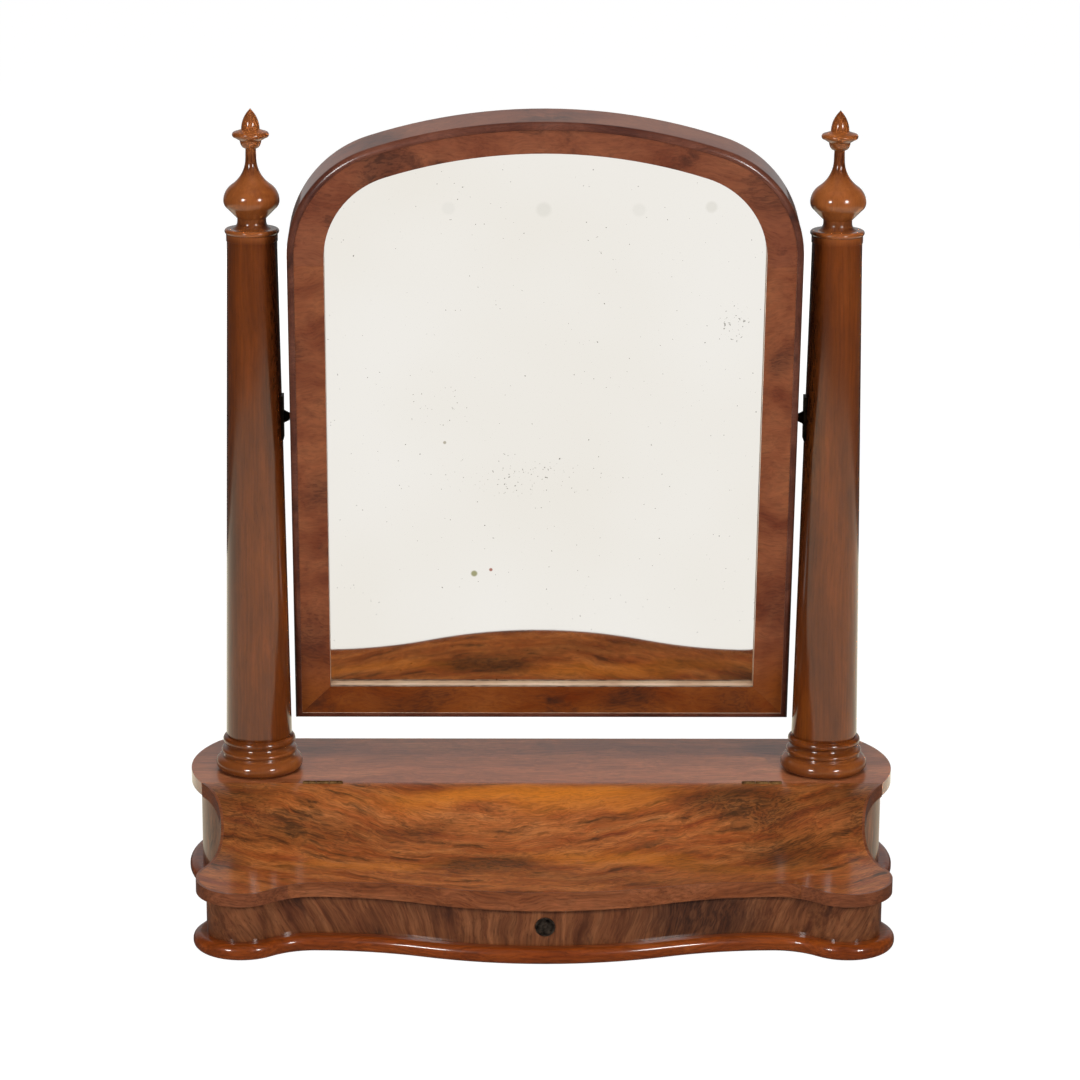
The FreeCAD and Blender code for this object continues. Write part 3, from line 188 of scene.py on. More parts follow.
# noise drawn out along the grain, 0 to 1
def drawnNoise(tree, grain, seed, kind, length, width):
    step, detail, rough = grainNoises[kind]
    drawn = addNode(tree, "ShaderNodeVectorMath",
                    {"operation": "MULTIPLY", 1: (1 / length, 1 / width, 1 / width)},
                    {0: grain}).outputs[0]
    return addNode(tree, "ShaderNodeTexNoise",
                   {"noise_dimensions": "4D", "W": seed + step, "Scale": 1.0,
                    "Detail": detail, "Roughness": rough}, {"Vector": drawn}).outputs["Fac"]


# grain lines swept back to both ends, as in a crotch veneer
def sweepBack(tree, point, s):
    split = addNode(tree, "ShaderNodeSeparateXYZ", links={0: point})
    along = addNode(tree, "ShaderNodeMath", {"operation": "SUBTRACT", 1: s["sweepCentre"]},
                    {0: split.outputs[0]}).outputs[0]
    square = addNode(tree, "ShaderNodeMath", {"operation": "MULTIPLY"},
                     {0: along, 1: along}).outputs[0]
    eased = addNode(tree, "ShaderNodeMath", {"operation": "ADD", 1: s["sweepRound"]},
                    {0: square}).outputs[0]
    root = addNode(tree, "ShaderNodeMath", {"operation": "SQRT"}, {0: eased}).outputs[0]
    back = addNode(tree, "ShaderNodeMath", {"operation": "MULTIPLY", 1: s["sweep"]},
                   {0: root}).outputs[0]
    across = addNode(tree, "ShaderNodeMath", {"operation": "SUBTRACT"},
                     {0: split.outputs[1], 1: back}).outputs[0]
    return addNode(tree, "ShaderNodeCombineXYZ",
                   links={0: split.outputs[0], 1: across, 2: split.outputs[2]}).outputs[0]


# grain lines that close up along the grain
def fanOut(tree, point, s):
    split = addNode(tree, "ShaderNodeSeparateXYZ", links={0: point})
    share = addNode(tree, "ShaderNodeMath", {"operation": "MULTIPLY_ADD", 1: -s["fan"], 2: 1.0},
                    {0: split.outputs[0]}).outputs[0]
    closed = addNode(tree, "ShaderNodeMath", {"operation": "MULTIPLY"},
                     {0: split.outputs[2], 1: share}).outputs[0]
    return addNode(tree, "ShaderNodeCombineXYZ",
                   links={0: split.outputs[0], 1: split.outputs[1], 2: closed}).outputs[0]


def polishedWood(name, **changes):
    s = dict(woodBase, **changes)
    seed = s["seed"]
    material, tree, output = newMaterial(name)
    place = addNode(tree, "ShaderNodeTexCoord").outputs["Object"]
    turned = addNode(tree, "ShaderNodeMapping",
                     {"vector_type": "POINT", "Rotation": [math.radians(a) for a in s["turn"]]},
                     {"Vector": place}).outputs[0]
    if s["sweep"]:
        turned = sweepBack(tree, turned, s)
    if s["fan"]:
        turned = fanOut(tree, turned, s)
    if s["curl"]:
        turned = ripple(tree, turned, seed, "curl", s["curl"], s["curlsPerMetre"])[0]
    grain, wave = ripple(tree, turned, seed, "warp", s["warp"], 1 / s["warpSpacing"])

    # ground colour, fine lines and pores
    figure = drawnNoise(tree, grain, seed, "figure", s["figureLength"], s["figureWidth"])
    colour = setRamp(addNode(tree, "ShaderNodeValToRGB", links={0: figure}),
                     s["tones"]).outputs["Color"]
    lines = drawnNoise(tree, grain, seed, "lines", s["lineWidth"] * s["lineStretch"],
                       s["lineWidth"])
    pores = drawnNoise(tree, grain, seed, "pores", s["poreWidth"] * s["poreStretch"],
                       s["poreWidth"])
    lineTone = addNode(tree, "ShaderNodeMapRange",
                       {"From Min": s["lineLevels"][0], "From Max": s["lineLevels"][1],
                        "To Min": 1 - s["lineDepth"],
                        "To Max": 1 + s["lineLift"] * s["lineDepth"]},
                       {"Value": lines}).outputs[0]
    poreTone = addNode(tree, "ShaderNodeMapRange",
                       {"From Min": s["poreLevels"][0], "From Max": s["poreLevels"][1],
                        "To Min": 1 - s["poreDepth"], "To Max": 1.0},
                       {"Value": pores}).outputs[0]
    for tone in (lineTone, poreTone):
        colour = addNode(tree, "ShaderNodeVectorMath", {"operation": "SCALE"},
                         {0: colour, "Scale": tone}).outputs[0]

    # smoky streaks, glows, dark patches and flecks, each a colour laid over by its mask
    layers = []
    if s["streakAmount"]:
        smoke = drawnNoise(tree, grain, seed, "streaks", s["streakLength"], s["streakWidth"])
        start, drop, soft = s["streakLevels"]
        low = start - drop * s["streakAmount"]
        mask = addNode(tree, "ShaderNodeMapRange",
                       {"From Min": low, "From Max": low + soft, "To Min": 0.0,
                        "To Max": s["streakDepth"]}, {"Value": smoke}).outputs[0]
        layers.append((s["streak"], mask))
    flecks = drawnNoise(tree, grain, seed, "flecks", s["fleckLength"], s["fleckWidth"])
    fleckMask = addNode(tree, "ShaderNodeMapRange",
                        {"From Min": s["fleckLevels"][0], "From Max": s["fleckLevels"][1]},
                        {"Value": flecks}).outputs[0]
    speckle = addNode(tree, "ShaderNodeMapRange", {"To Min": s["patchSpeckle"], "To Max": 1.0},
                      {"Value": fleckMask}).outputs[0]
    wandering = addNode(tree, "ShaderNodeVectorMath",
                        {"operation": "MULTIPLY_ADD", 1: [s["patchWander"]] * 3},
                        {0: wave, 2: place}).outputs[0]
    for spot, radii, depth in s["glows"]:
        layers.append((s["glow"], softPatch(tree, wandering, spot, radii, s["patchCore"], depth)))
    for spot, radii, depth in s["patches"]:
        soft = softPatch(tree, wandering, spot, radii, s["patchCore"], depth)
        mask = addNode(tree, "ShaderNodeMath", {"operation": "MULTIPLY"},
                       {0: soft, 1: speckle}).outputs[0]
        layers.append((s["streak"], mask))
    if s["fleck"]:
        mask = addNode(tree, "ShaderNodeMath", {"operation": "MULTIPLY", 1: s["fleck"]},
                       {0: fleckMask}).outputs[0]
        layers.append((s["streak"], mask))
    colour = layOver(tree, colour, layers)

    rounded = addNode(tree, "ShaderNodeBevel", {"samples": 4, "Radius": s["edge"]}).outputs[0]
    surface = addNode(tree, "ShaderNodeBump",
                      {"Strength": s["grainStrength"], "Distance": s["grainHeight"]},
                      {"Height": poreTone, "Normal": rounded}).outputs[0]
    rough = addNode(tree, "ShaderNodeMapRange",
                    {"To Min": s["roughness"] + s["roughSpread"][0],
                     "To Max": s["roughness"] + s["roughSpread"][1]},
                    {"Value": figure}).outputs[0]
    shader = addNode(tree, "ShaderNodeBsdfPrincipled",
                     {"IOR": s["polishIor"], "Specular IOR Level": s["shine"],
                      "Coat Weight": s["coat"], "Coat Roughness": s["coatRoughness"],
                      "Coat IOR": s["polishIor"]},
                     {"Base Color": colour, "Roughness": rough, "Normal": surface})
    tree.links.new(shader.outputs[0], output.inputs[0])
    return material


# figured mahogany: the crotch veneer of the lid, flames running back to both ends
flame = polishedWood(
    "frenchPolishedFlameMahogany", seed=3.0, sweep=0.42, sweepCentre=-0.02, curl=0.003,
    warp=0.014, figureLength=0.07, figureWidth=0.012, lineWidth=0.0016, lineDepth=0.32,
    tones=[(0.25, "#78341a"), (0.42, "#954c20"), (0.58, "#aa622e"), (0.8, "#bb7743")],
    streak="#2b1e10", streakAmount=0.4, streakLength=0.05, streakWidth=0.012, fleck=0.3,
    coatRoughness=0.14, glow="#c9741d",
    glows=[((-0.02, 0.014, 0.1), (0.2, 0.024, 1), 0.7),
           ((0.035, 0.0, 0.1), (0.1, 0.032, 1), 0.5),
           ((0.1, -0.09, 0.07), (0.16, 0.02, 1), 0.45),
           ((-0.15, -0.1, 0.07), (0.12, 0.02, 1), 0.35)],
    patches=[((-0.05, -0.103, 0.07), (0.085, 0.03, 1), 0.95),
             ((0.1, -0.13, 0.07), (0.27, 0.022, 1), 0.3),
             ((0.19, 0.0, 0.1), (0.1, 0.04, 1), 0.85),
             ((0.22, -0.06, 0.08), (0.07, 0.05, 1), 0.75),
             ((0.144, -0.092, 0.07), (0.06, 0.02, 1), 0.5),
             ((-0.24, -0.04, 0.08), (0.12, 0.036, 1), 0.55),
             ((-0.12, -0.02, 0.08), (0.06, 0.02, 1), 0.5),
             # painted shade on the left front lobe
             ((-0.3, -0.088, 0.07), (0.05, 0.035, 1), 0.6),
             # painted dark reflections of the columns at the lid's back ends
             ((0.3, 0.0, 0.1), (0.06, 0.08, 1), 0.7),
             ((-0.29, 0.01, 0.1), (0.06, 0.06, 1), 0.65)])
# sawn mahogany never polished: the lid's underside
underWood = polishedWood(
    "bareMahogany", seed=27.0, coat=0.0, roughness=0.55, warp=0.004, figureLength=0.4,
    figureWidth=0.016, tones=[(0.3, "#6a3f28"), (0.55, "#815036"), (0.8, "#946246")])
# the lid's edging: two copies of one wood, toned apart as painted light and shade, a little darker
# in front than at the ends
edgeBase = dict(fleck=0.2, coatRoughness=0.12)
edgeDark = polishedWood("edgingMahoganyDark", **dict(
    edgeBase, seed=15.0, tones=[(0.3, "#6b3518"), (0.55, "#854a29"), (0.8, "#975b38")]))
edgeLight = polishedWood("edgingMahoganyLight", **dict(
    edgeBase, seed=17.0, tones=[(0.3, "#6b3a22"), (0.55, "#7d4529"), (0.8, "#8f5537")]))

# plain mahogany of the fixed board behind the lid, and the moulding round the base
boardWood = polishedWood(
    "frenchPolishedMahogany", seed=9.0, figureLength=0.12, streak="#4a2818", fleck=0.25,
    tones=[(0.3, "#713c20"), (0.55, "#8a4f30"), (0.8, "#9d6441")])
nosingWood = polishedWood(
    "polishedMahoganyMoulding", seed=8.0, figureLength=0.4, coatRoughness=0.1,
    tones=[(0.3, "#692a08"), (0.55, "#823b0e"), (0.8, "#98501b")],
    # the same board is the floor of the box, where the wood has stayed dull
    glow="#70452e", glows=[((side * 0.15, -0.04, 0.012), (0.24, 0.115, 1), 0.55)
                           for side in (-1, 1)])

# crossbanding: the veneer's grain stands upright round the box
crossBase = dict(turn=(0, 90, 0), seed=5.0, figureLength=0.08, figureWidth=0.008, curl=0.0012,
                 streak="#2a1813", streakAmount=0.3, streakLength=0.07, streakWidth=0.02)
# the front's tones carry a painted sheen of the floor; the side walls take the darker copy below,
# where the sheen card gives the real sheen
frieze = polishedWood("crossbandedMahoganyPaintedSheen", **dict(
    crossBase, fan=2.2, tones=[(0.28, "#552c19"), (0.5, "#734327"), (0.75, "#905a38")],
    patches=[((0.15, -0.15, 0.045), (0.09, 1, 0.05), 0.85),
             ((-0.11, -0.15, 0.05), (0.035, 1, 0.04), 0.35)]))
sideWood = polishedWood("crossbandedSideMahogany", **dict(
    crossBase, shine=0.04, coat=0.3,
    tones=[(0.28, "#45200f"), (0.5, "#61341b"), (0.75, "#7c4829")]))

# turned work: close straight grain up the piece under a full, even polish
columnPlace = {"side": 0.2743, "back": 0.0825, "foot": 0.108, "collar": 0.637}
turnedBase = dict(turn=(0, 90, 0), warp=0.003, figureLength=0.5, figureWidth=0.03,
                  lineDepth=0.16, poreDepth=0.2, shine=0.04, coat=1.0, coatRoughness=0.11,
                  # near-black, for the painted shade on the shafts beside the mirror
                  streak="#0e0502")
shaftWood = polishedWood("turnedShaftMahogany", **dict(
    turnedBase, seed=7.0, figureLength=0.14, lineDepth=0.22, glow="#8f5026",
    tones=[(0.3, "#47200a"), (0.55, "#5d2b0a"), (0.8, "#723c12")],
    # the mouldings at the foot and the collar are made lighter
    glows=[((side * columnPlace["side"], columnPlace["back"], columnPlace[part]),
            (0.07, 0.07, reach), 0.6)
           for side in (-1, 1) for part, reach in (("foot", 0.04), ("collar", 0.016))],
    # painted shade: the sides next to the mirror darkened, where its frame shades them from the
    # far lamp
    patches=[((-0.246, columnPlace["back"], 0.58), (0.027, 0.06, 0.32), 1.0),
             ((0.246, columnPlace["back"], 0.54), (0.027, 0.06, 0.4), 1.0)]))
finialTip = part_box("finial_left")[1][2]
finialWood = polishedWood("turnedFinialMahogany", **dict(
    turnedBase, seed=7.5, coat=0.75, streak="#3a1507",
    tones=[(0.3, "#6f3a18"), (0.55, "#814822"), (0.8, "#93582e")],
    # the necks and the tips are made darker
    patches=[((side * columnPlace["side"], columnPlace["back"], finialTip - down),
              (0.03, 0.03, reach), depth)
             for side in (-1, 1)
             for down, reach, depth in ((0.0, 0.02, 0.6), (0.05, 0.02, 0.9),
                                        (0.112, 0.016, 0.9))]))

# the mirror's frame: mottled veneer laid in short lengths
frameBase = dict(seed=12.0, figureLength=0.05, figureWidth=0.03, warp=0.02, curl=0.002,
                 fleck=0.22, lineDepth=0.1, poreDepth=0.2, streak="#2c1b17",
                 streakAmount=0.25, streakLength=0.05, streakWidth=0.04)
# the stiles' and the arch's paler tones carry a painted sheen of the floor, which the rail lacks
stileWoodPaintedSheen = polishedWood("veneeredStileMahoganyPaintedSheen", **dict(
    frameBase, tones=[(0.28, "#66301c"), (0.5, "#82482c"), (0.75, "#965b39")],
    # at the stiles' feet, where that painted sheen stops, a deeper orange is laid over
    glow="#7d400f", glows=[((side * 0.225, 0.11, 0.15), (0.06, 1, 0.09), 0.8)
                           for side in (-1, 1)],
    patches=[((-0.225, 0.1, 0.53), (0.03, 1, 0.02), 0.5),
             ((-0.225, 0.1, 0.4), (0.025, 1, 0.02), 0.5),
             ((0.225, 0.1, 0.52), (0.02, 1, 0.03), 0.6),
             ((0.225, 0.1, 0.26), (0.03, 1, 0.03), 0.35),
             ((-0.225, 0.1, 0.24), (0.03, 1, 0.04), 0.45)]))
archWoodPaintedSheen = polishedWood("veneeredArchMahoganyPaintedSheen", **dict(
    frameBase, seed=14.0, figureLength=0.09,
    tones=[(0.28, "#663220"), (0.5, "#7d452d"), (0.75, "#8d5539")],
    patches=[((-0.15, 0.03, 0.71), (0.05, 1, 0.03), 0.7),
             ((0.0, 0.02, 0.74), (0.05, 1, 0.012), 0.4),
             ((0.2, 0.04, 0.68), (0.03, 1, 0.04), 0.45)]))
railWood = polishedWood("veneeredRailMahogany", **dict(
    frameBase, seed=19.0, figureLength=0.09,
    tones=[(0.28, "#632809"), (0.5, "#7a3e16"), (0.75, "#8d4f22")],
    patches=[((0.085, 0.12, 0.17), (0.035, 1, 0.03), 0.75),
             ((-0.13, 0.12, 0.17), (0.05, 1, 0.02), 0.5),
             ((0.19, 0.12, 0.16), (0.03, 1, 0.03), 0.4)]))
bandWood = polishedWood("roundedBandMahogany", **dict(
    frameBase, seed=23.0, coatRoughness=0.2,
    tones=[(0.28, "#45221a"), (0.5, "#5c3224"), (0.75, "#704232")]))
# the narrow sight edge round the glass, left pale, with a painted shadow line along the rail;
# its grain hardly waves, or the thin painted shadow line would blur
revealWood = polishedWood("paleSightEdge", **dict(
    frameBase, seed=25.0, fleck=0.1, streakAmount=0.0, coat=0.3, warp=0.0004, curl=0.0,
    tones=[(0.28, "#b89478"), (0.5, "#cdae93"), (0.75, "#dcc3ab")],
    # painted shadow line at the front arris over the rail
    patches=[((0, 0.0982, 0.1835), (9, 0.005, 0.005), 1.0)]))

# sawn softwood of the parts that no one sees: pale, straight in the grain and matt
pine = polishedWood(
    "bareSoftwood", seed=21.0, coat=0.0, shine=0.3, roughness=0.62, warp=0.004,
    warpSpacing=0.3, figureLength=0.5, figureWidth=0.012, lineWidth=0.003, lineDepth=0.25,
    tones=[(0.3, "#a27650"), (0.55, "#ba8e64"), (0.8, "#cba579")])

dress(flame, "lid_panel")
dress(edgeDark, "lid_edging_front")
dress(edgeLight, "lid_edging_left", "lid_edging_right")
dress(boardWood, "rear_board")
dress(nosingWood, "plinth_board")
dress(frieze, "front_frieze")
dress(sideWood, "side_wall_left", "side_wall_right")
dress(shaftWood, "column_left", "column_right")
dress(finialWood, "finial_left", "finial_right")
dress(stileWoodPaintedSheen, "stile_left", "stile_right")
dress(archWoodPaintedSheen, "arch_top")
dress(railWood, "bottom_rail")
dress(pine, "back_panel", "partition", "column_blocks", "backboard", "glazing_blocks")

# reveal and outer band of the mirror's frame, picked by where their faces lie:
# depths are in metres in front of the pivot, with the frame stood upright
frameFaces = {"tilt": 8.16, "pivot": (0.0, 0.0825, 0.4565), "lipBack": -0.0149,
              "bandFront": -0.0236, "roundBack": -0.0179, "edgeOn": 0.3, "flatBack": -0.99}


def paintFrame():
    s = frameFaces
    upright = Matrix.Rotation(-math.radians(s["tilt"]), 3, "X")
    for name in ("bottom_rail", "stile_left", "stile_right", "arch_top"):
        mesh = nodes[name].data
        mesh.materials.append(revealWood)
        mesh.materials.append(bandWood)
        for face in mesh.polygons:
            centre = upright @ (face.center - Vector(s["pivot"]))
            normal = upright @ face.normal
            inward = normal.x * centre.x + normal.z * centre.z < 0
            if abs(normal.y) < s["edgeOn"] and inward and centre.y < s["lipBack"]:
                face.material_index = 1
            elif centre.y < s["bandFront"] or (centre.y < s["roundBack"] and not inward
                                               and normal.y > s["flatBack"]):
                face.material_index = 2


lidUnderside = {"downward": -0.3}    # faces whose normal points lower than this


def paintUnderside():
    mesh = nodes["lid_panel"].data
    mesh.materials.append(underWood)
    for face in mesh.polygons:
        if face.normal.z < lidUnderside["downward"]:
            face.material_index = 1


paintFrame()
paintUnderside()
print("woods done")

# old fittings: bare metal with brown tarnish in cloudy patches
metalBase = {"clouds": 180.0, "cloudDetail": 5.0, "tarnishLevels": (0.35, 0.62),
             "roughSpread": (0.15, -0.1)}


def dullMetal(name, clean, tarnished, roughness):
    s = metalBase
    material, tree, output = newMaterial(name)
    place = addNode(tree, "ShaderNodeTexCoord").outputs["Object"]
    cloud = addNode(tree, "ShaderNodeTexNoise",
                    {"Scale": s["clouds"], "Detail": s["cloudDetail"]},
                    {"Vector": place}).outputs["Fac"]
    colour = setRamp(addNode(tree, "ShaderNodeValToRGB", links={0: cloud}),
                     [(s["tarnishLevels"][0], tarnished),
                      (s["tarnishLevels"][1], clean)]).outputs["Color"]
    rough = addNode(tree, "ShaderNodeMapRange",
                    {"To Min": roughness + s["roughSpread"][0],
                     "To Max": roughness + s["roughSpread"][1]}, {"Value": cloud}).outputs[0]
    shader = addNode(tree, "ShaderNodeBsdfPrincipled", {"Metallic": 1.0},
                     {"Base Color": colour, "Roughness": rough})
    tree.links.new(shader.outputs[0], output.inputs[0])
    return material


brass = dullMetal("tarnishedBrass", "#a07a4c", "#5a402a", 0.55)
blackened = dullMetal("blackenedBrass", "#33291f", "#120e0c", 0.5)
steel = dullMetal("dullIron", "#8b8883", "#3f3b37", 0.45)
cupIron = dullMetal("darkenedIron", "#76695c", "#2a2320", 0.5)
dress(brass, "hinge_leaves_fixed", "hinge_leaves_moving", "hinge_pins", "hinge_screws_fixed",
      "hinge_screws_moving", "lock_case", "lock_catch")
dress(blackened, "column_plate_left", "column_plate_right", "frame_plate_left",
      "frame_plate_right", "pivot_stud_left", "pivot_stud_right")
dress(cupIron, "lock_cup")
dress(steel, "lock_screws", "catch_screws", "column_plate_screws",
      "frame_plate_screws", "backboard_screws")
print("metals done")

# screws with driver slots, in metres; slotReach is in radii of the head
screwSettings = {"head": 0.0022, "sides": 28, "thick": 0.0011, "shank": 0.0011, "tip": 0.35,
                 "slotWidth": 0.0006, "slotDepth": 0.0006, "slotReach": 3, "firstTurn": 0.4,
                 "nextTurn": 1.3}


# head centres, axes and lengths of the separate screws of a CAD node
def headSpots(name, axisOf):
    mesh = nodes[name].data
    group = list(range(len(mesh.vertices)))

    def leader(index):
        while group[index] != index:
            group[index] = group[group[index]]
            index = group[index]
        return index

    for edge in mesh.edges:
        group[leader(edge.vertices[0])] = leader(edge.vertices[1])
    islands = {}
    for vertex in mesh.vertices:
        islands.setdefault(leader(vertex.index), []).append(vertex.co)
    spots = []
    for points in islands.values():
        low = Vector([min(p[i] for p in points) for i in range(3)])
        high = Vector([max(p[i] for p in points) for i in range(3)])
        middle = (low + high) / 2
        axis = axisOf(middle)
        along = [(p - middle).dot(axis) for p in points]
        spots.append((middle + axis * min(along), axis, max(along) - min(along)))
    return spots


def slottedScrew(place, axis, length, turn):
    s = screwSettings
    bpy.ops.object.select_all(action="DESELECT")
    bpy.ops.mesh.primitive_circle_add(vertices=s["sides"], radius=s["head"], fill_type="NGON")
    screw = bpy.context.object
    bpy.ops.object.mode_set(mode="EDIT")
    bpy.ops.mesh.select_all(action="SELECT")
    bpy.ops.mesh.extrude_region_move(TRANSFORM_OT_translate={"value": (0, 0, s["thick"])})
    bpy.ops.transform.resize(value=[s["shank"] / s["head"]] * 2 + [1])
    bpy.ops.mesh.extrude_region_move(
        TRANSFORM_OT_translate={"value": (0, 0, length - s["thick"])})
    bpy.ops.transform.resize(value=(s["tip"], s["tip"], 1))
    bpy.ops.mesh.select_all(action="SELECT")
    bpy.ops.mesh.normals_make_consistent(inside=False)
    bpy.ops.object.mode_set(mode="OBJECT")
    bpy.ops.object.select_all(action="DESELECT")
    bpy.ops.mesh.primitive_cube_add(size=1)
    slot = bpy.context.object
    slot.scale = (s["slotReach"] * s["head"], s["slotWidth"], 2 * s["slotDepth"])
    cutter = screw.modifiers.new("slot", "BOOLEAN")
    cutter.object = slot
    cutter.operation = "DIFFERENCE"
    bpy.ops.object.select_all(action="DESELECT")
    screw.select_set(True)
    bpy.context.view_layer.objects.active = screw
    bpy.ops.object.modifier_apply(modifier="slot")
    bpy.data.objects.remove(slot)
    screw.matrix_world = (Matrix.Translation(place)
                          @ axis.to_track_quat("Z", "Y").to_matrix().to_4x4()
                          @ Matrix.Rotation(turn, 4, "Z"))
    bpy.ops.object.transform_apply(location=True, rotation=True, scale=True)
    return screw


def makeScrews(name, node, body, axisOf, material):
    s = screwSettings
    made = [slottedScrew(place, axis, length, s["firstTurn"] + s["nextTurn"] * index)
            for index, (place, axis, length) in enumerate(headSpots(node, axisOf))]
    bpy.ops.object.select_all(action="DESELECT")
    for screw in made:
        screw.select_set(True)
    bpy.context.view_layer.objects.active = made[0]
    bpy.ops.object.join()
    group = bpy.context.object
    group.name = name
    group.data.materials.clear()
    group.data.materials.append(material)
    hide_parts(node)
    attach(group, body)


backAxis = Matrix.Rotation(math.radians(frameFaces["tilt"]), 3, "X") @ Vector((0, -1, 0))
# each screw's axis runs from its head towards its point
for name, node, body, axisOf, material, slot in (
        ("slottedHingeScrewsFixed", "hinge_screws_fixed", "box",
         lambda p: Vector((0, 1, 0)), brass, "brass"),
        ("slottedHingeScrewsMoving", "hinge_screws_moving", "lid",
         lambda p: Vector((0, -1, 0)), brass, "brass"),
        ("slottedLockScrews", "lock_screws", "box",
         lambda p: Vector((0, -1, 0)), steel, "steel"),
        ("slottedCatchScrews", "catch_screws", "lid",
         lambda p: Vector((0, 0, 1)), steel, "steel"),
        ("slottedPlateScrews", "column_plate_screws", "box",
         lambda p: Vector((math.copysign(1, p.x), 0, 0)), steel, "steel"),
        ("slottedFramePlateScrews", "frame_plate_screws", "mirror",
         lambda p: Vector((-math.copysign(1, p.x), 0, 0)), steel, "steel"),
        ("slottedBackboardScrews", "backboard_screws", "mirror",
         lambda p: backAxis, steel, "steel")):
    makeScrews(name, node, body, axisOf, material)
print("screws done")

# silvered plate: mirror-bright, with a slight milky haze and foxing
glassSettings = {
    "silver": "#ebe8e2",
    "haze": "#e8e4dc",
    "hazeLevels": (0.3, 0.6),
    "clouds": 4.0,             # clouds of haze per metre
    "cloudDetail": 2.0,
    "roughness": 0.03,
    "spot": "#4a4436",
    "grit": 420.0,             # specks of foxing per metre
    "gritDetail": 1.0,
    "gritLimit": 0.78,         # noise above which the silver has gone
    "gritDrop": 0.2,           # how much lower that is in the thick of a cluster
    "gritEdge": 0.03,
    "gritDepth": 0.6,
    # clusters of foxing: place on the glass, reach, how thickly it is strewn
    "foxing": [((-0.02, 0, 0.40), (0.13, 1, 0.035), 0.55),
               ((0.177, 0, 0.552), (0.03, 1, 0.03), 0.8),
               ((-0.10, 0, 0.47), (0.05, 1, 0.04), 0.35)],
    "foxingCore": 0.1,
    # single stains: place, radius, colour; the pale ones are old smudges
    "stains": [((-0.066, 0, 0.300), 0.004, "#8c8a55"), ((-0.050, 0, 0.304), 0.0022, "#9a4a34"),
               ((-0.094, 0, 0.434), 0.002, "#a79f8c"), ((-0.09, 0, 0.664), 0.008, "#e3e0d9"),
               ((-0.002, 0, 0.663), 0.009, "#dedbd3"), ((0.086, 0, 0.663), 0.008, "#e3e0d9"),
               ((0.153, 0, 0.666), 0.007, "#dedbd3")],
    "stainCore": 0.5,
    "stainDepth": 0.85,
}


def oldMirror(name):
    s = glassSettings
    material, tree, output = newMaterial(name)
    place = addNode(tree, "ShaderNodeTexCoord").outputs["Object"]
    cloud = addNode(tree, "ShaderNodeTexNoise",
                    {"Scale": s["clouds"], "Detail": s["cloudDetail"]},
                    {"Vector": place}).outputs["Fac"]
    colour = setRamp(addNode(tree, "ShaderNodeValToRGB", links={0: cloud}),
                     [(s["hazeLevels"][0], s["haze"]),
                      (s["hazeLevels"][1], s["silver"])]).outputs["Color"]
    grit = addNode(tree, "ShaderNodeTexNoise",
                   {"Scale": s["grit"], "Detail": s["gritDetail"]},
                   {"Vector": place}).outputs["Fac"]
    layers = []
    for spot, radii, thick in s["foxing"]:
        limit = addNode(tree, "ShaderNodeMath",
                        {"operation": "MULTIPLY_ADD", 1: -s["gritDrop"], 2: s["gritLimit"]},
                        {0: softPatch(tree, place, spot, radii, s["foxingCore"],
                                      thick)}).outputs[0]
        over = addNode(tree, "ShaderNodeMath", {"operation": "SUBTRACT"},
                       {0: grit, 1: limit}).outputs[0]
        mask = addNode(tree, "ShaderNodeMapRange",
                       {"From Min": 0.0, "From Max": s["gritEdge"], "To Max": s["gritDepth"]},
                       {"Value": over}).outputs[0]
        layers.append((s["spot"], mask))
    for spot, radius, shade in s["stains"]:
        layers.append((shade, softPatch(tree, place, spot, (radius, 1, radius), s["stainCore"],
                                        s["stainDepth"])))
    colour = layOver(tree, colour, layers)
    shader = addNode(tree, "ShaderNodeBsdfPrincipled",
                     {"Metallic": 1.0, "Roughness": s["roughness"]}, {"Base Color": colour})
    tree.links.new(shader.outputs[0], output.inputs[0])
    return material


dress(oldMirror("silveredGlass"), "mirror_glass")
print("glass done")

floorSettings = {
    "size": 14.0,
    "place": (0, 2.0, -0.0005),  # just under the box
    "colour": "#e9e7e2",
    "glow": 0.85,              # share of the white that the camera sees on the floor
    "white": 1.14,
    "shine": 0.06,             # what polished surfaces see of the floor
}
roomSettings = {
    "front": 0.2,              # light from behind the viewer
    "back": 0.35,              # and from behind the object
    "levels": (-0.2, 0.75),
    "shineFront": 0.02,        # the same room as polished surfaces see it
    "shineBack": 0.42,
    "shineLevels": (0.5, 0.97),
}


def makeFloor():
    s = floorSettings
    bpy.ops.object.select_all(action="DESELECT")
    bpy.ops.mesh.primitive_plane_add(size=s["size"], location=s["place"])
    floor = bpy.context.object
    floor.name = "floor"
    material, tree, output = newMaterial("paleFloor")
    rays = addNode(tree, "ShaderNodeLightPath")
    seen = addNode(tree, "ShaderNodeMath", {"operation": "MAXIMUM"},
                   {0: rays.outputs["Is Camera Ray"],
                    1: rays.outputs["Is Transmission Ray"]}).outputs[0]
    share = addNode(tree, "ShaderNodeMath", {"operation": "MULTIPLY", 1: s["glow"]},
                    {0: seen}).outputs[0]
    matt = addNode(tree, "ShaderNodeBsdfDiffuse", {"Color": linear(s["colour"])}).outputs[0]
    glow = addNode(tree, "ShaderNodeEmission",
                   {"Color": (1, 1, 1, 1), "Strength": s["white"]}).outputs[0]
    dim = addNode(tree, "ShaderNodeEmission",
                  {"Color": (1, 1, 1, 1), "Strength": s["shine"]}).outputs[0]
    mixed = addNode(tree, "ShaderNodeMixShader",
                    links={0: share, 1: matt, 2: glow}).outputs[0]
    mixed = addNode(tree, "ShaderNodeMixShader",
                    links={0: rays.outputs["Is Glossy Ray"], 1: mixed, 2: dim}).outputs[0]
    tree.links.new(mixed, output.inputs[0])
    floor.data.materials.append(material)


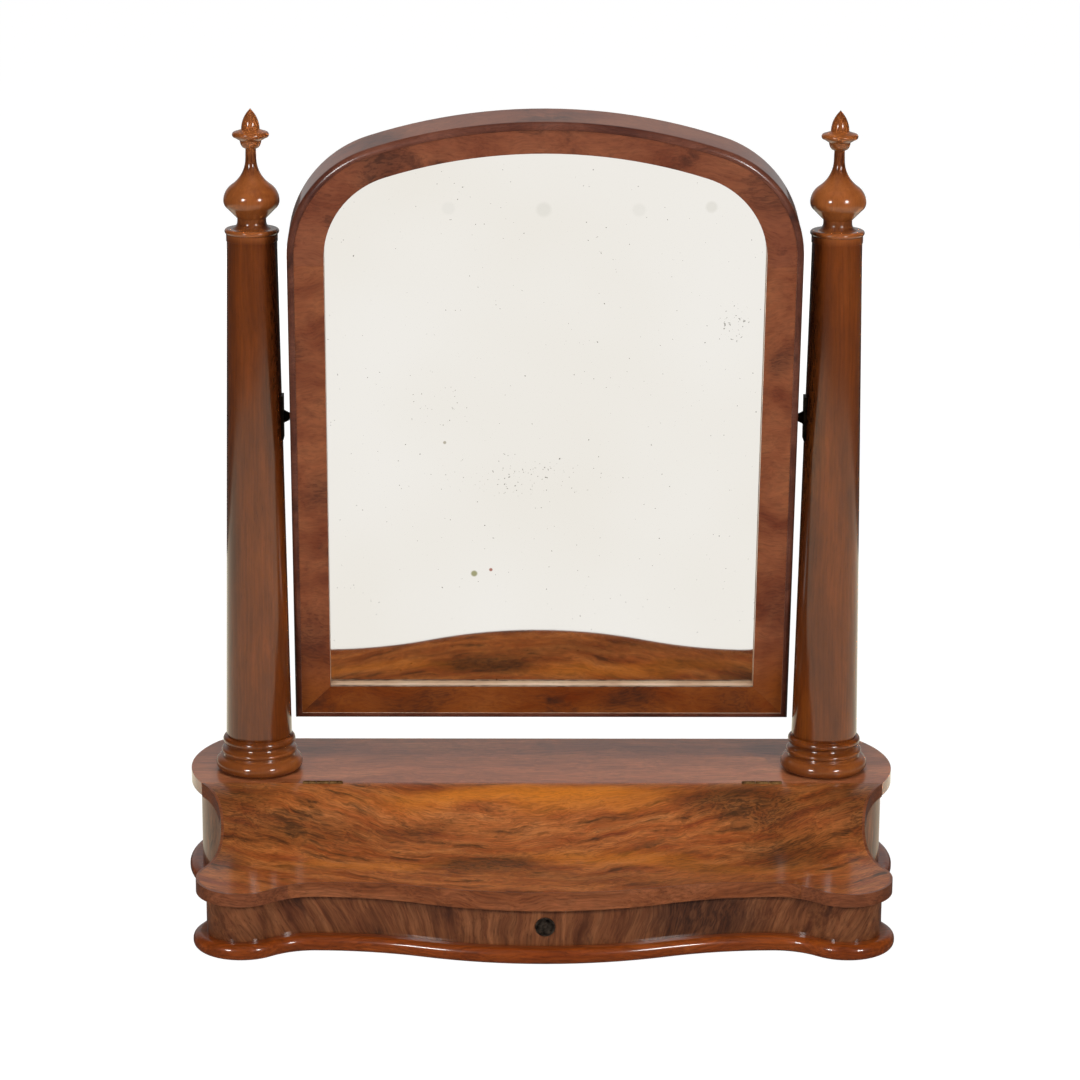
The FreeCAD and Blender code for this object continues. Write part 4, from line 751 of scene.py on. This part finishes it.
# white room behind the object, dimmer behind the viewer
def makeWorld():
    s = roomSettings
    world = bpy.data.worlds.new("studioRoom")
    bpy.context.scene.world = world
    world.use_nodes = True
    tree = world.node_tree
    tree.nodes.clear()
    output = addNode(tree, "ShaderNodeOutputWorld")
    direction = addNode(tree, "ShaderNodeTexCoord").outputs["Generated"]
    split = addNode(tree, "ShaderNodeSeparateXYZ", links={0: direction})
    level, shine = [
        addNode(tree, "ShaderNodeMapRange",
                {"interpolation_type": "SMOOTHSTEP", "From Min": levels[0],
                 "From Max": levels[1], "To Min": front, "To Max": back},
                {"Value": split.outputs[1]}).outputs[0]
        for levels, front, back in ((s["levels"], s["front"], s["back"]),
                                    (s["shineLevels"], s["shineFront"], s["shineBack"]))]
    rays = addNode(tree, "ShaderNodeLightPath")
    chosen = addNode(tree, "ShaderNodeMix", {"data_type": "FLOAT"},
                     {0: rays.outputs["Is Glossy Ray"], 2: level, 3: shine}).outputs[0]
    strength = addNode(tree, "ShaderNodeMath", {"operation": "MAXIMUM"},
                       {0: chosen, 1: rays.outputs["Is Camera Ray"]}).outputs[0]
    background = addNode(tree, "ShaderNodeBackground", {"Color": (1, 1, 1, 1)},
                         {"Strength": strength})
    tree.links.new(background.outputs[0], output.inputs[0])


# lamps aim at the foot of the mirror: place, size, power, whether polish shows them
lampSettings = {
    "aim": (0, 0, 0.3),
    "lampLeft": ((-2.1, -2.9, 1.75), 0.8, 62.0, True),
    "lampRight": ((2.1, -2.9, 1.75), 0.8, 62.0, True),
    "lampTop": ((0, -0.6, 2.6), 1.6, 26.0, False),
    "lampBack": ((0, 3.4, 0.7), 1.6, 45.0, False),  # for the back, low enough to miss the tops
}
# evenly lit white paper and walls, each seen only in the pieces named for it, because
# the floor and the room above are dim in polished wood: place, size, turn in degrees
cardSettings = {
    "glassLevel": 0.98,
    "glassCards": {
        "cardFloor": ((0, 1.5, 0.001), (14, 15), (180, 0, 0)),
        "cardFront": ((0, -6, 0.35), (14, 0.7), (90, 0, 0)),
        "cardBack": ((0, 9, 1.1), (14, 2.2), (-90, 0, 0)),
        "cardLeft": ((-7, 1.5, 1.1), (2.2, 15), (0, -90, 0)),
        "cardRight": ((7, 1.5, 1.1), (2.2, 15), (0, 90, 0)),
    },
    "sheenLevel": 0.77,
    "sheenColour": "#fff7dc",
    "sheenCard": ((0, -0.6, 0.001), (4.8, 3.8), (180, 0, 0)),
    "sheenNodes": ("column_left", "column_right", "finial_left", "finial_right",
                   "side_wall_left", "side_wall_right", "rear_board"),
}


def addLight(name, shape, place, size, power):
    data = bpy.data.lights.new(name, "AREA")
    data.shape = shape
    data.size, data.size_y = size
    data.energy = power
    light = bpy.data.objects.new(name, data)
    bpy.context.scene.collection.objects.link(light)
    light.location = place
    return light


def makeLamp(name, place, size, power, glossy):
    lamp = addLight(name, "DISK", place, (size, size), power)
    aim = Vector(lampSettings["aim"]) - Vector(place)
    lamp.rotation_euler = aim.to_track_quat("-Z", "Y").to_euler()
    lamp.visible_glossy = glossy


def makeCard(name, shape, place, size, turn, level, receivers):
    card = addLight(name, shape, place, size, level * math.pi * size[0] * size[1])
    card.rotation_euler = [math.radians(angle) for angle in turn]
    card.visible_camera = False
    seenIn = bpy.data.collections.new(name + "Receivers")
    for receiver in receivers:
        seenIn.objects.link(nodes[receiver])
    card.light_linking.receiver_collection = seenIn
    return card


def makeLights():
    for name in ("lampLeft", "lampRight", "lampTop", "lampBack"):
        makeLamp(name, *lampSettings[name])
    s = cardSettings
    for name, card in s["glassCards"].items():
        makeCard(name, "RECTANGLE", *card, s["glassLevel"], ["mirror_glass"])
    sheen = makeCard("sheenCard", "ELLIPSE", *s["sheenCard"], s["sheenLevel"], s["sheenNodes"])
    sheen.data.color = linear(s["sheenColour"])[:3]
    sheen.visible_diffuse = False


makeFloor()
makeWorld()
makeLights()
print("studio done")

cameraSettings = {"place": (-0.0554, -3.2986, 1.2394), "pitch": 14.967, "turn": 0.888,
                  "roll": 0.334, "lens": 121.8, "sensor": 36.0}


def makeCamera():
    s = cameraSettings
    pitch = math.radians(s["pitch"])
    roll = math.radians(s["roll"])
    turn = Matrix.Rotation(-math.radians(s["turn"]), 3, "Z")
    forward = turn @ Vector((0, math.cos(pitch), -math.sin(pitch)))
    up = turn @ Vector((0, math.sin(pitch), math.cos(pitch)))
    right = turn @ Vector((1, 0, 0))
    turnedUp = up * math.cos(roll) - right * math.sin(roll)
    turnedRight = right * math.cos(roll) + up * math.sin(roll)
    data = bpy.data.cameras.new("camera")
    data.lens = s["lens"]
    data.sensor_width = s["sensor"]
    camera = bpy.data.objects.new("camera", data)
    bpy.context.scene.collection.objects.link(camera)
    axes = Matrix((turnedRight, turnedUp, -forward)).transposed()
    camera.rotation_euler = axes.to_euler()
    camera.location = s["place"]
    bpy.context.scene.camera = camera


makeCamera()
bpy.context.scene.view_settings.view_transform = "Standard"

print("scene done")
